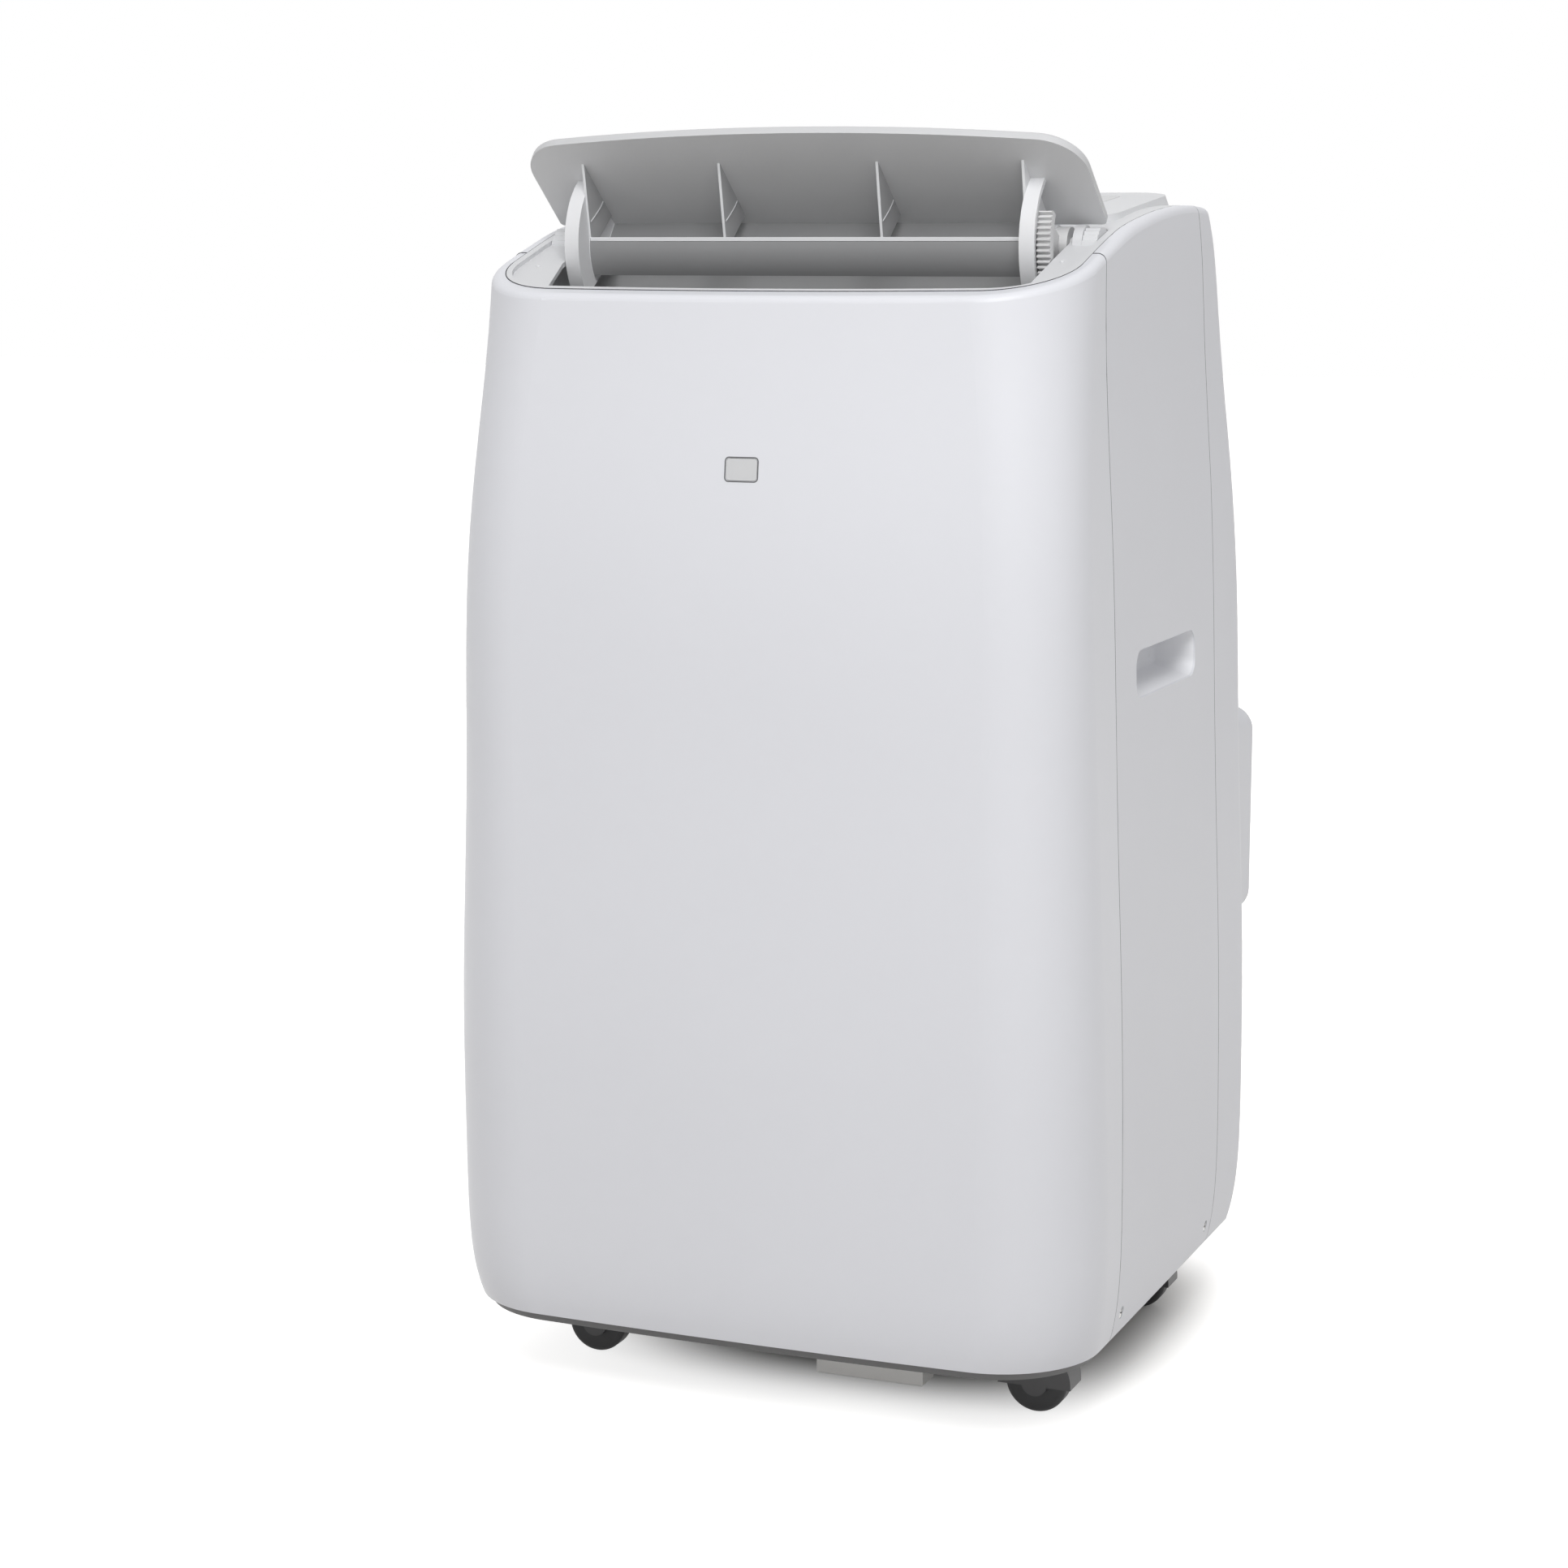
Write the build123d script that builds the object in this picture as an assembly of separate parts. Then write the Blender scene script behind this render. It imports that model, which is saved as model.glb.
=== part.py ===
from build123d import *
import math
import os
from functools import cache

# Portable air conditioner. Millimetres, +Z up, front towards -Y, wheels standing on Z = 0.
# Y = 0 lies midway between the front panel and the rear face of the exhaust frame.

# Body envelope
body_half_width = 203.5
body_front = -206.5
body_rear = 181.0
rear_corner_radius = 22.0
front_bow = 5.0
# How the envelope draws in with height: height, each side, front, rear, then the front corner radius
stations = (
    (44.0, 8.5, 11.0, 9.5, 62.0),
    (72.0, 2.7, 4.8, 4.0, 62.0),
    (105.0, 0.8, 2.8, 2.3, 62.0),
    (160.0, 0.9, 1.4, 1.2, 61.0),
    (280.0, 4.0, 0.0, 0.0, 57.0),
    (420.0, 9.2, 1.0, 1.0, 52.0),
    (560.0, 15.2, 8.0, 13.5, 50.0),
    (642.0, 18.8, 17.0, 32.0, 56.0),
    (725.0, 23.5, 30.5, 76.0, 64.0),
)
# Side view of the top, from front to rear: place along Y, height
crown = (
    (-240.0, 639.0),
    (-181.5, 657.3),
    (-150.0, 667.0),
    (-117.5, 677.3),
    (-90.0, 685.6),
    (-72.0, 690.6),
    (-50.0, 695.4),
    (-30.0, 698.6),
    (0.0, 702.6),
    (46.0, 706.6),
    (100.0, 706.8),
    (140.0, 702.0),
    (200.0, 691.0),
)
top_edge_radius = 5.0

# Casing panels
wall = 2.8
fit_gap = 0.4
seam_gap = 0.8
seam_front = -111.7
# Rear seam in the side view: place along Y, height
seam_rear = (
    (102.2, 0.0),
    (102.2, 540.0),
    (99.2, 600.0),
    (95.5, 642.0),
    (91.0, 670.0),
    (83.0, 705.0),
    (78.0, 725.0),
)
panel_bottom = 49.4

# Base pan and its sump
pan_bottom = 44.0
pan_floor = 4.0
pan_top = 80.0
pan_wall = 2.6
sump_left = 19.0
sump_right = 87.0
sump_front = -130.0
sump_depth = 19.0
sump_bottom = 12.0
sump_edge = 1.5

# Hand grips in the side panels
grip_y = -6.5
grip_height = 437.5
grip_length = 132.0
grip_rise = 33.0
grip_corner = 13.0
grip_depth = 27.0
grip_taper = 14.0
grip_wall = 2.4

# Receiver window in the front panel
receiver_width = 18.7
receiver_rise = 12.2
receiver_height = 559.7
receiver_corner = 2.0
receiver_thick = 4.0
receiver_gap = 0.2
receiver_board_width = 46.0
receiver_board_rise = 26.0
receiver_post_radius = 3.0

# Top cover
cover_wall = 3.0
cover_side_inset = 27.5
cover_front_inset = 28.0
cover_rear_inset = 62.0
cover_front_corner = 48.0
cover_rear_corner = 26.0
rim_width = 4.5
tray_depth = 2.6
tray_rear = -62.0
tray_front_corner = 40.0
tray_rear_corner = 6.0
outlet_left = 147.0
outlet_right = 154.0
outlet_front_margin = 8.0
outlet_end_margin = 1.4
outlet_slant_y = -123.0
outlet_slant = 0.26

# Raised control deck
deck_front = -58.0
deck_side_inset = 6.0
deck_rear_inset = 5.0
deck_corner = 32.0
deck_base_height = 690.0
deck_rise = 35.0
deck_draw_in = 11.0
deck_mid_y = 25.0
deck_mid_height = 707.7
deck_slope = 5.74
deck_skin = 4.0

# Control panel on the deck, in the deck's own tilted frame
panel_half_width = 135.0
panel_low = -35.0
panel_high = 58.0
panel_thick = 1.6
panel_corner = 8.0
button_names = ("power", "mode", "fan", "timer", "down", "up")
button_pitch = 30.0
button_row = -6.0
button_radius = 6.7
button_proud = 1.3
button_flange = 8.4
button_flange_thick = 1.2
button_travel = 0.9
button_gap = 0.3
display_width = 62.0
display_rise = 20.0
display_row = 30.0
board_half_width = 96.0
board_low = -22.0
board_high = 46.0
board_thick = 1.6
switch_size = 6.0

# Outlet louver, drawn about its pivot with the lid level, then raised
pivot_y = -77.0
pivot_height = 684.0
louver_raise = 38.0
pin_radius = 4.0
running_gap = 0.05
lid_side_inset = 31.0
lid_back = 2.6
lid_depth = 83.0
lid_under = 12.3
lid_thick = 6.0
lid_corner = 28.0
lid_bow = 11.0
lid_edge_radius = 2.4
skirt_thick = 2.0
skirt_drop = 4.0
cheek_inner = 136.5
cheek_plate = 2.5
cheek_width = 9.0
cheek_radius = 46.0
cheek_rim = 3.0
cheek_low_angle = -75.5
hub_radius = 11.0
ear_thick = 5.5
ear_gap = 2.8
vane_radius = 31.0
vane_thick = 2.5
vane_top_angle = -30.1
vane_low_angle = -73.5
rib_thick = 1.6
rib_offsets = (-136.2, -49.0, 49.0, 136.2)
rib_tip = 60.0
rib_back = 12.0

# Louver drive
gear_module = 1.0
sector_pitch_radius = 41.0
pinion_teeth = 18
pinion_angle = -40.0
gear_width = 7.7
gear_spread = 0.1
gear_backlash = 0.12
sector_below = 1
sector_above = 15
sector_ring = 5.0
sector_web = 3.0
pinion_hub_length = 3.0
pinion_shaft_radius = 2.5
motor_radius = 13.0
motor_length = 13.0
motor_drop = 6.0
motor_ear_span = 36.0
motor_ear_width = 8.0
motor_ear_thick = 1.5

# Exhaust outlet on the rear panel
exhaust_x = 121.0
exhaust_height = 316.0
exhaust_width = 148.0
exhaust_rise = 138.0
exhaust_rear = 206.5
exhaust_corner = 16.0
exhaust_edge = 7.0
exhaust_bore = 58.0
exhaust_wall = 2.5
exhaust_reach = 14.0

# Rear intakes
upper_half_width = 150.0
upper_low = 436.0
upper_high = 612.0
lower_left = -132.0
lower_right = 150.0
lower_low = 96.0
lower_high = 226.0
intake_corner = 10.0
grille_border = 9.0
slot_rise = 5.0
slot_pitch = 9.2
slot_columns = 4
slot_bar = 6.0
filter_gap = 1.0
filter_thick = 3.0
filter_border = 10.0
filter_columns = 4
filter_rows = 3
filter_bar = 4.0

# Drain and cord gland
drain_x = -20.0
drain_height = 63.0
drain_radius = 8.5
drain_shoulder = 9.5
drain_bore = 5.5
drain_proud = 13.0
drain_flange = 12.0
plug_head = 7.2
plug_length = 10.0
gland_x = -160.0
gland_height = 132.0
gland_radius = 7.5
gland_bore = 3.6
gland_flange = 11.0
gland_proud = 7.0

# Upper and lower fans
duct_wall = 2.5
duct_gap = 0.3
duct_front = -178.0
duct_rear = -58.0
duct_half_width = 165.0
duct_shoulder = 626.0
duct_neck_height = 556.0
upper_fan_height = 520.0
upper_scroll_radius = 112.0
upper_wheel_radius = 90.0
upper_wheel_length = 70.0
upper_motor_radius = 38.0
upper_motor_length = 40.0
lower_fan_x = 75.0
lower_fan_height = 168.0
lower_scroll_front = -40.0
lower_scroll_rear = 60.0
lower_scroll_radius = 90.0
scroll_foot_half = 20.0
lower_wheel_radius = 72.0
lower_wheel_length = 48.0
lower_motor_radius = 30.0
lower_motor_length = 36.0
elbow_rear = 168.0
elbow_margin = 3.5
fan_blades = 30
fan_blade_chord = 16.0
fan_blade_thick = 1.4
fan_disc = 2.0
fan_ring = 3.0
fan_hub_radius = 12.0
fan_shaft_radius = 4.0
fan_shaft_grip = 20.0
fan_gap = 2.5

# Partition and coils
partition_height = 392.0
partition_thick = 4.0
partition_gap = 0.5
tray_wall_rise = 14.0
tray_end_room = 20.0
evaporator_half_width = 150.0
evaporator_front = 70.0
evaporator_depth = 36.0
evaporator_rise = 210.0
condenser_half_width = 152.0
condenser_front = 98.0
condenser_depth = 36.0
condenser_bottom = 70.0
condenser_rise = 168.0
leg_inner = 70.0
leg_width = 30.0
coil_end_plate = 1.5
coil_tube_radius = 4.0
coil_bends = 5

# Compressor, accumulator and lines
compressor_x = -108.0
compressor_y = -40.0
compressor_radius = 58.0
compressor_bottom = 62.0
compressor_rise = 205.0
compressor_dome = 26.0
foot_reach = 64.0
foot_radius = 13.0
foot_thick = 3.0
grommet_radius = 9.0
stud_radius = 4.0
accumulator_y = 46.0
accumulator_radius = 24.0
accumulator_bottom = 108.0
accumulator_rise = 130.0
accumulator_dome = 14.0
strap_width = 18.0
line_radius = 4.0
line_bend = 8.0
line_hole = 6.0
line_lift = 26.0
line_run_x = -180.0
discharge_run_x = -166.0

# Casters
caster_x = 144.0
caster_front = -106.0
caster_rear = 105.0
caster_turn = 90.0
caster_wheel_radius = 19.0
caster_wheel_width = 15.0
caster_tread_edge = 3.0
caster_trail = 8.0
caster_side_gap = 0.6
caster_cheek = 2.6
caster_axle_radius = 2.5
caster_axle_boss = 8.0
caster_hood_gap = 1.4
caster_hood_wall = 2.2
caster_top_gap = 0.4
stem_radius = 4.5
stem_rise = 17.0
stem_boss = 9.0
stem_boss_rise = 22.0

# Casing screws through the panels into the pan wall
screw_head = 3.6
screw_shank = 1.8
screw_length = 9.0
screw_height = 63.0
side_screw_rows = (-98.0, 89.0)
rear_screw_columns = (-145.0, 60.0, 145.0)
screw_sink = 0.6

far = 900.0


def block(x0, x1, y0, y1, z0, z1):
    return Pos((x0 + x1) / 2, (y0 + y1) / 2, (z0 + z1) / 2) * Box(x1 - x0, y1 - y0, z1 - z0)


def rod_x(radius, x0, x1, y, z):
    return Pos((x0 + x1) / 2, y, z) * Rot(0, 90, 0) * Cylinder(radius, abs(x1 - x0))


def rod_y(radius, y0, y1, x, z):
    return Pos(x, (y0 + y1) / 2, z) * Rot(90, 0, 0) * Cylinder(radius, abs(y1 - y0))


def rod_z(radius, z0, z1, x, y):
    return Pos(x, y, (z0 + z1) / 2) * Cylinder(radius, abs(z1 - z0))


def plan_face(half, front, rear, front_radius, rear_radius, bow):
    corner = front + bow
    edges = [
        Line((-half, rear), (half, rear)),
        Line((half, rear), (half, corner)),
        ThreePointArc((half, corner), (0, front), (-half, corner)),
        Line((-half, corner), (-half, rear)),
    ]
    face = make_face(Curve() + edges)
    face = fillet(face.vertices().sort_by(Axis.Y)[:2], front_radius)
    return fillet(face.vertices().sort_by(Axis.Y)[-2:], rear_radius)


def rounded_slab(width, rise, corner, y0, y1, x, z):
    face = Plane.XZ * RectangleRounded(width, rise, corner)
    return Pos(x, y1, z) * extrude(face, y1 - y0)


def profile_x(face, x0, x1):
    return Pos(x0, 0, 0) * extrude(Plane.YZ * face, x1 - x0)


def side_polygon(points):
    return make_face(Polyline(*[(-forward, up) for forward, up in points], close=True))


def polar(radius, degrees):
    angle = math.radians(degrees)
    return radius * math.cos(angle), radius * math.sin(angle)


# Envelope solids
@cache
def crown_solid():
    first, last = crown[0], crown[-1]
    edges = [
        Spline(*crown),
        Polyline(last, (last[0], 0), (first[0], 0), first),
    ]
    return profile_x(make_face(Curve() + edges), -far, far)


def dome(drop):
    return Pos(0, 0, -drop) * crown_solid()


def station_face(station, inset):
    height, side_in, front_in, rear_in, corner = station
    face = plan_face(
        body_half_width - side_in - inset,
        body_front + front_in + inset,
        body_rear - rear_in - inset,
        corner - inset,
        rear_corner_radius - inset,
        front_bow,
    )
    return Pos(0, 0, height) * face


@cache
def blank(inset):
    return loft([station_face(station, inset) for station in stations]) & dome(inset)


@cache
def rounded_blank():
    solid = blank(0)
    top = solid.faces().sort_by(Axis.Z)[-1]
    return fillet(top.edges(), top_edge_radius)


def skin(outer, inner, cutter):
    return (blank(outer) & cutter) - blank(inner)


cover_half = body_half_width - cover_side_inset
cover_front = body_front + cover_front_inset
cover_rear = body_rear - cover_rear_inset
tray_half = cover_half - rim_width
tray_front = cover_front + rim_width


def upright(face, z0, z1):
    return Pos(0, 0, z0) * extrude(face, z1 - z0)


def cover_prism(grow):
    face = plan_face(
        cover_half + grow,
        cover_front - grow,
        cover_rear + grow,
        cover_front_corner + grow,
        cover_rear_corner + grow,
        front_bow,
    )
    return upright(face, panel_bottom, far)


def tray_prism(grow):
    face = plan_face(
        tray_half + grow,
        tray_front - grow,
        tray_rear + grow,
        tray_front_corner + grow,
        tray_rear_corner + grow,
        front_bow,
    )
    return upright(face, panel_bottom, far)


# Base pan
pan_skin = wall + fit_gap


def stem_places():
    return [(side * caster_x, row) for row in (caster_front, caster_rear) for side in (-1, 1)]


def screw_lines():
    lines = []
    for side in (-1, 1):
        for row in side_screw_rows:
            lines.append((side, row, None))
    for column in rear_screw_columns:
        lines.append((0, None, column))
    return lines


def screw_rod(radius, line):
    side, row, column = line
    if side:
        return rod_x(radius, side * body_half_width / 2, side * far, row, screw_height)
    return rod_y(radius, body_rear / 2, far, column, screw_height)


def base_pan():
    pan = blank(pan_skin) & block(-far, far, -far, far, pan_bottom, pan_top)
    hollow = blank(pan_skin + pan_wall) & block(-far, far, -far, far, pan_bottom + pan_floor, pan_top)
    pan = pan - hollow
    sump = block(sump_left, sump_right, sump_front, sump_front + sump_depth, sump_bottom, pan_bottom)
    low_rim = sump.edges().group_by(Axis.Z)[0]
    sump = fillet(low_rim, sump_edge)
    for x, y in stem_places():
        pan = pan + rod_z(stem_boss, pan_bottom, pan_bottom + stem_boss_rise, x, y)
    for x, y in stem_places():
        pan = pan - rod_z(stem_radius + running_gap, 0, pan_bottom + stem_rise, x, y)
    for line in screw_lines():
        pan = pan - screw_rod(screw_shank, line)
    for x, y in foot_places():
        pan = pan + rod_z(stud_radius, pan_bottom + pan_floor, compressor_bottom + foot_thick, x, y)
    pan = pan - rod_y(drain_shoulder, 0, far, drain_x, drain_height)
    return [pan, sump]


# Casing panels
def behind_seam(shift):
    line = [(y + shift, z) for y, z in seam_rear]
    corners = [(far, seam_rear[-1][1]), (far, 0)]
    return profile_x(make_face(Polyline(*line, *corners, close=True)), -far, far)


def panel_blank():
    shell = rounded_blank() - blank(wall)
    shell = shell & block(-far, far, -far, far, panel_bottom, far)
    return shell - cover_prism(fit_gap)


def grip_cavity(grow, side):
    mouth = RectangleRounded(grip_length + 2 * grow, grip_rise + 2 * grow, grip_corner + grow)
    depth = grip_depth + grow + (body_half_width - grip_face)
    cavity = extrude(mouth, depth, taper=grip_taper)
    far_rim = cavity.faces().sort_by(Axis.Z)[-1].edges()
    cavity = fillet(far_rim, 5.0 + grow / 2)
    turned = Rot(0, -90 * side, 0) * Rot(0, 0, 90) * cavity
    return Pos(side * body_half_width, grip_y, grip_height) * turned


grip_face = body_half_width - 9.8


def side_panel(shell, side):
    strip = block(0, far, seam_front + seam_gap / 2, far, 0, far) - behind_seam(-seam_gap / 2)
    if side < 0:
        strip = mirror(strip, Plane.YZ)
    cup = grip_cavity(grip_wall, side) & blank(0)
    panel = (shell & strip) + cup
    panel = panel - grip_cavity(0, side)
    for line in screw_lines():
        if line[0] == side:
            panel = panel - screw_rod(screw_head + fit_gap / 2, line)
    return panel


def front_panel(shell):
    strip = block(-far, far, -far, seam_front - seam_gap / 2, 0, far)
    panel = shell & strip
    panel = panel - receiver_prism(receiver_gap)
    for side in (-1, 1):
        post = rod_y(receiver_post_radius, -far, receiver_board_y, side * receiver_post_x, receiver_height)
        panel = panel + (post & blank(wall / 2))
    return panel


def receiver_prism(grow):
    width = receiver_width + 2 * grow
    rise = receiver_rise + 2 * grow
    return rounded_slab(width, rise, receiver_corner + grow, -far, 0, 0, receiver_height)


receiver_post_x = receiver_board_width / 2 - 2 * receiver_post_radius
receiver_board_y = body_front + 8.0 + receiver_thick + 2.6


def receiver_window():
    return skin(0, receiver_thick, receiver_prism(0))


def receiver_board():
    half = receiver_board_width / 2
    low = receiver_height - receiver_board_rise / 2
    high = receiver_height + receiver_board_rise / 2
    board = block(-half, half, receiver_board_y, receiver_board_y + board_thick, low, high)
    sensor = rod_y(3.0, receiver_board_y - 1.8, receiver_board_y, 0, receiver_height)
    return board + sensor


def upper_prism(shrink):
    width = 2 * (upper_half_width - shrink)
    rise = upper_high - upper_low - 2 * shrink
    mid = (upper_high + upper_low) / 2
    return rounded_slab(width, rise, intake_corner - shrink, 0, far, 0, mid)


def lower_prism(shrink):
    width = lower_right - lower_left - 2 * shrink
    rise = lower_high - lower_low - 2 * shrink
    middle = (lower_left + lower_right) / 2
    return rounded_slab(width, rise, intake_corner - shrink, 0, far, middle, (lower_high + lower_low) / 2)


def slot_bank(left, right, low, high):
    usable = right - left - 2 * grille_border
    width = (usable - slot_bar * (slot_columns - 1)) / slot_columns
    count = int((high - low - 2 * grille_border) // slot_pitch)
    start = (low + high) / 2 - slot_pitch * (count - 1) / 2
    slots = []
    for column in range(slot_columns):
        x0 = left + grille_border + column * (width + slot_bar)
        for row in range(count):
            z = start + row * slot_pitch
            slots.append(block(x0, x0 + width, 0, far, z - slot_rise / 2, z + slot_rise / 2))
    return slots


def upper_grille():
    grille = skin(0, wall, upper_prism(fit_gap))
    return grille - slot_bank(-upper_half_width, upper_half_width, upper_low, upper_high)


def lower_grille():
    grille = skin(0, wall, lower_prism(fit_gap))
    return grille - slot_bank(lower_left, lower_right, lower_low, lower_high)


def filter_screen():
    front = wall + filter_gap
    screen = skin(front, front + filter_thick, upper_prism(-filter_border))
    width = 2 * upper_half_width / filter_columns
    rise = (upper_high - upper_low) / filter_rows
    for column in range(filter_columns):
        for row in range(filter_rows):
            x0 = -upper_half_width + column * width
            z0 = upper_low + row * rise
            half = filter_bar / 2
            screen = screen - block(x0 + half, x0 + width - half, 0, far, z0 + half, z0 + rise - half)
    return screen


def rear_panel(shell):
    panel = shell & behind_seam(seam_gap / 2)
    panel = panel - upper_prism(0)
    panel = panel - lower_prism(0)
    panel = panel - rod_y(exhaust_bore + exhaust_wall + fit_gap, 0, far, exhaust_x, exhaust_height)
    panel = panel - rod_y(drain_shoulder + fit_gap, 0, far, drain_x, drain_height)
    panel = panel - rod_y(gland_radius + fit_gap / 2, 0, far, gland_x, gland_height)
    for line in screw_lines():
        if not line[0]:
            panel = panel - screw_rod(screw_head + fit_gap / 2, line)
    return panel


def case_screws():
    screws = []
    for line in screw_lines():
        head = (screw_rod(screw_head, line) & blank(screw_sink)) - blank(pan_skin)
        shank = (screw_rod(screw_shank, line) & blank(wall / 2)) - blank(screw_length)
        screws.append(head + shank)
    return screws


def exhaust_outlet():
    x0 = exhaust_x - exhaust_width / 2
    frame = rounded_slab(
        exhaust_width, exhaust_rise, exhaust_corner, body_rear / 2, exhaust_rear, exhaust_x, exhaust_height
    )
    rim = frame.faces().sort_by(Axis.Y)[-1].outer_wire().edges()
    frame = fillet(rim, exhaust_edge) - blank(0)
    frame = frame & block(x0, x0 + exhaust_width, body_rear / 2, far, 0, far)
    tube_front = body_rear - exhaust_reach
    outer = exhaust_bore + exhaust_wall
    frame = frame + rod_y(outer, tube_front, exhaust_rear - exhaust_edge, exhaust_x, exhaust_height)
    return frame - rod_y(exhaust_bore, 0, far, exhaust_x, exhaust_height)


def drain_spigot():
    surface = body_rear - stations[1][3]
    tip = surface + drain_proud
    start = surface - pan_skin - pan_wall - 6.0
    tube = rod_y(drain_radius, start, tip, drain_x, drain_height)
    tube = tube + rod_y(drain_shoulder, start, surface, drain_x, drain_height)
    seat = rod_y(drain_flange, start, far, drain_x, drain_height)
    seat = seat & blank(pan_skin + pan_wall + fit_gap / 2)
    seat = seat - blank(pan_skin + pan_wall + 3.0)
    return tube + seat - rod_y(drain_bore, 0, far, drain_x, drain_height)


def drain_plug():
    tip = body_rear - stations[1][3] + drain_proud
    head = rod_y(plug_head, tip, tip + 2.5, drain_x, drain_height)
    return head + rod_y(drain_bore - 0.02, tip - plug_length, tip, drain_x, drain_height)


def cord_gland():
    body = rod_y(gland_radius, body_rear - 12.0, body_rear + gland_proud, gland_x, gland_height)
    flange = rod_y(gland_flange, 0, body_rear + 2.0, gland_x, gland_height) - blank(0)
    gland = body + flange
    return gland - rod_y(gland_bore, 0, far, gland_x, gland_height)


# Top cover with its tray, outlet mouth, deck and pivot ears
deck_frame = Pos(0, deck_mid_y, deck_mid_height) * Rot(deck_slope, 0, 0)


def deck_solid():
    low = plan_face(
        cover_half - deck_side_inset, deck_front, cover_rear - deck_rear_inset, deck_corner, deck_corner, 0.5
    )
    high = plan_face(
        cover_half - deck_side_inset - deck_draw_in,
        deck_front + deck_draw_in / 2,
        cover_rear - deck_rear_inset - deck_draw_in,
        deck_corner - deck_draw_in / 2,
        deck_corner - deck_draw_in / 2,
        0.5,
    )
    wedge = loft([Pos(0, 0, deck_base_height) * low, Pos(0, 0, deck_base_height + deck_rise) * high], ruled=True)
    return wedge & (deck_frame * block(-far, far, -far, far, -far, 0))


def ear(side):
    start = side * (outlet_right + ear_gap)
    return rod_x(hub_radius, start, start + side * ear_thick, pivot_y, pivot_height)


def button_x(index):
    return (index - (len(button_names) - 1) / 2) * button_pitch


def panel_face(grow):
    middle = (panel_low + panel_high) / 2
    width = 2 * (panel_half_width + grow)
    rise = panel_high - panel_low + 2 * grow
    return Pos(0, middle) * RectangleRounded(width, rise, panel_corner + grow)


def outlet_mouth():
    rear = tray_rear - outlet_end_margin
    left_front = -outlet_left + outlet_slant * (far + outlet_slant_y)
    points = [
        (outlet_right, -far),
        (outlet_right, rear),
        (-outlet_left, rear),
        (-outlet_left, outlet_slant_y),
        (left_front, -far),
    ]
    lip = plan_face(
        tray_half - outlet_front_margin,
        tray_front + outlet_front_margin,
        0,
        tray_front_corner - outlet_front_margin,
        tray_rear_corner,
        front_bow,
    )
    mouth = upright(make_face(Polyline(*points, close=True)), panel_bottom, far)
    return mouth & upright(lip, panel_bottom, far)


def top_cover():
    deck = deck_solid()
    cover = (cover_prism(0) & dome(0)) + deck
    cover = cover - dome(cover_wall) - Pos(0, 0, -deck_skin) * deck
    cover = cover - tray_prism(0)
    tray = tray_prism(cover_wall) & dome(cover_wall / 2)
    tray = tray - dome(tray_depth + cover_wall)
    tray = tray - (tray_prism(0) - dome(tray_depth))
    cover = cover + tray
    cover = cover - outlet_mouth()
    for side in (-1, 1):
        cover = cover + ear(side)
    cover = cover - rod_x(pin_radius + running_gap, -far, far, pivot_y, pivot_height)
    cover = cover - deck_frame * extrude(panel_face(fit_gap), -panel_thick)
    for index in range(len(button_names)):
        hole = Cylinder(button_radius + 2 * button_gap, 2 * deck_skin + 2 * panel_thick)
        cover = cover - deck_frame * Pos(button_x(index), button_row, 0) * hole
    window = Box(display_width, display_rise, 2 * deck_skin + 2 * panel_thick)
    cover = cover - deck_frame * Pos(0, display_row, 0) * window
    for post in board_posts():
        cover = cover + post
    return cover


board_top = -panel_thick - deck_skin - 3.0


def board_posts():
    posts = []
    for x in (-board_half_width + 5.0, board_half_width - 5.0):
        for y in (board_low + 5.0, board_high - 5.0):
            posts.append(deck_frame * rod_z(3.0, board_top, -panel_thick - 1.0, x, y))
    return posts


def control_panel():
    plate = extrude(panel_face(0), -panel_thick)
    for index in range(len(button_names)):
        hole = Cylinder(button_radius + button_gap, 4 * panel_thick)
        plate = plate - Pos(button_x(index), button_row, 0) * hole
    window = Box(display_width - 4.0, display_rise - 4.0, 4 * panel_thick)
    return deck_frame * (plate - Pos(0, display_row, 0) * window)


def display_window():
    lens = Pos(0, display_row, -panel_thick - 1.0) * Box(display_width - 0.4, display_rise - 0.4, 2.0)
    boss = Pos(0, display_row, -panel_thick / 2) * Box(display_width - 4.4, display_rise - 4.4, panel_thick)
    return deck_frame * (lens + boss)


def push_button(index):
    flange_top = -deck_skin - 0.6
    stem = rod_z(button_radius, flange_top, button_proud, 0, 0)
    stem = fillet(stem.edges().sort_by(Axis.Z)[-1], 0.6)
    flange = rod_z(button_flange, flange_top - button_flange_thick, flange_top, 0, 0)
    return deck_frame * Pos(button_x(index), button_row, 0) * (stem + flange)


def control_board():
    board = block(-board_half_width, board_half_width, board_low, board_high, board_top - board_thick, board_top)
    switch_top = -deck_skin - 0.6 - button_flange_thick - button_travel - 0.2
    for index in range(len(button_names)):
        x = button_x(index)
        half = switch_size / 2
        board = board + block(x - half, x + half, button_row - half, button_row + half, board_top, switch_top)
    display = block(-24.0, 24.0, display_row - 7.0, display_row + 7.0, board_top, -panel_thick - 2.4)
    return deck_frame * (board + display)


# Outlet louver
def raised(shape):
    return Pos(0, pivot_y, pivot_height) * Rot(-louver_raise, 0, 0) * shape


def louver_lid():
    half = body_half_width - lid_side_inset
    face = plan_face(half, -lid_back - lid_depth, -lid_back, lid_corner, 3.0, lid_bow)
    lid = upright(face, lid_under, lid_under + lid_thick)
    top_rim = lid.faces().sort_by(Axis.Z)[-1].edges()
    return raised(fillet(top_rim, lid_edge_radius))


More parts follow.
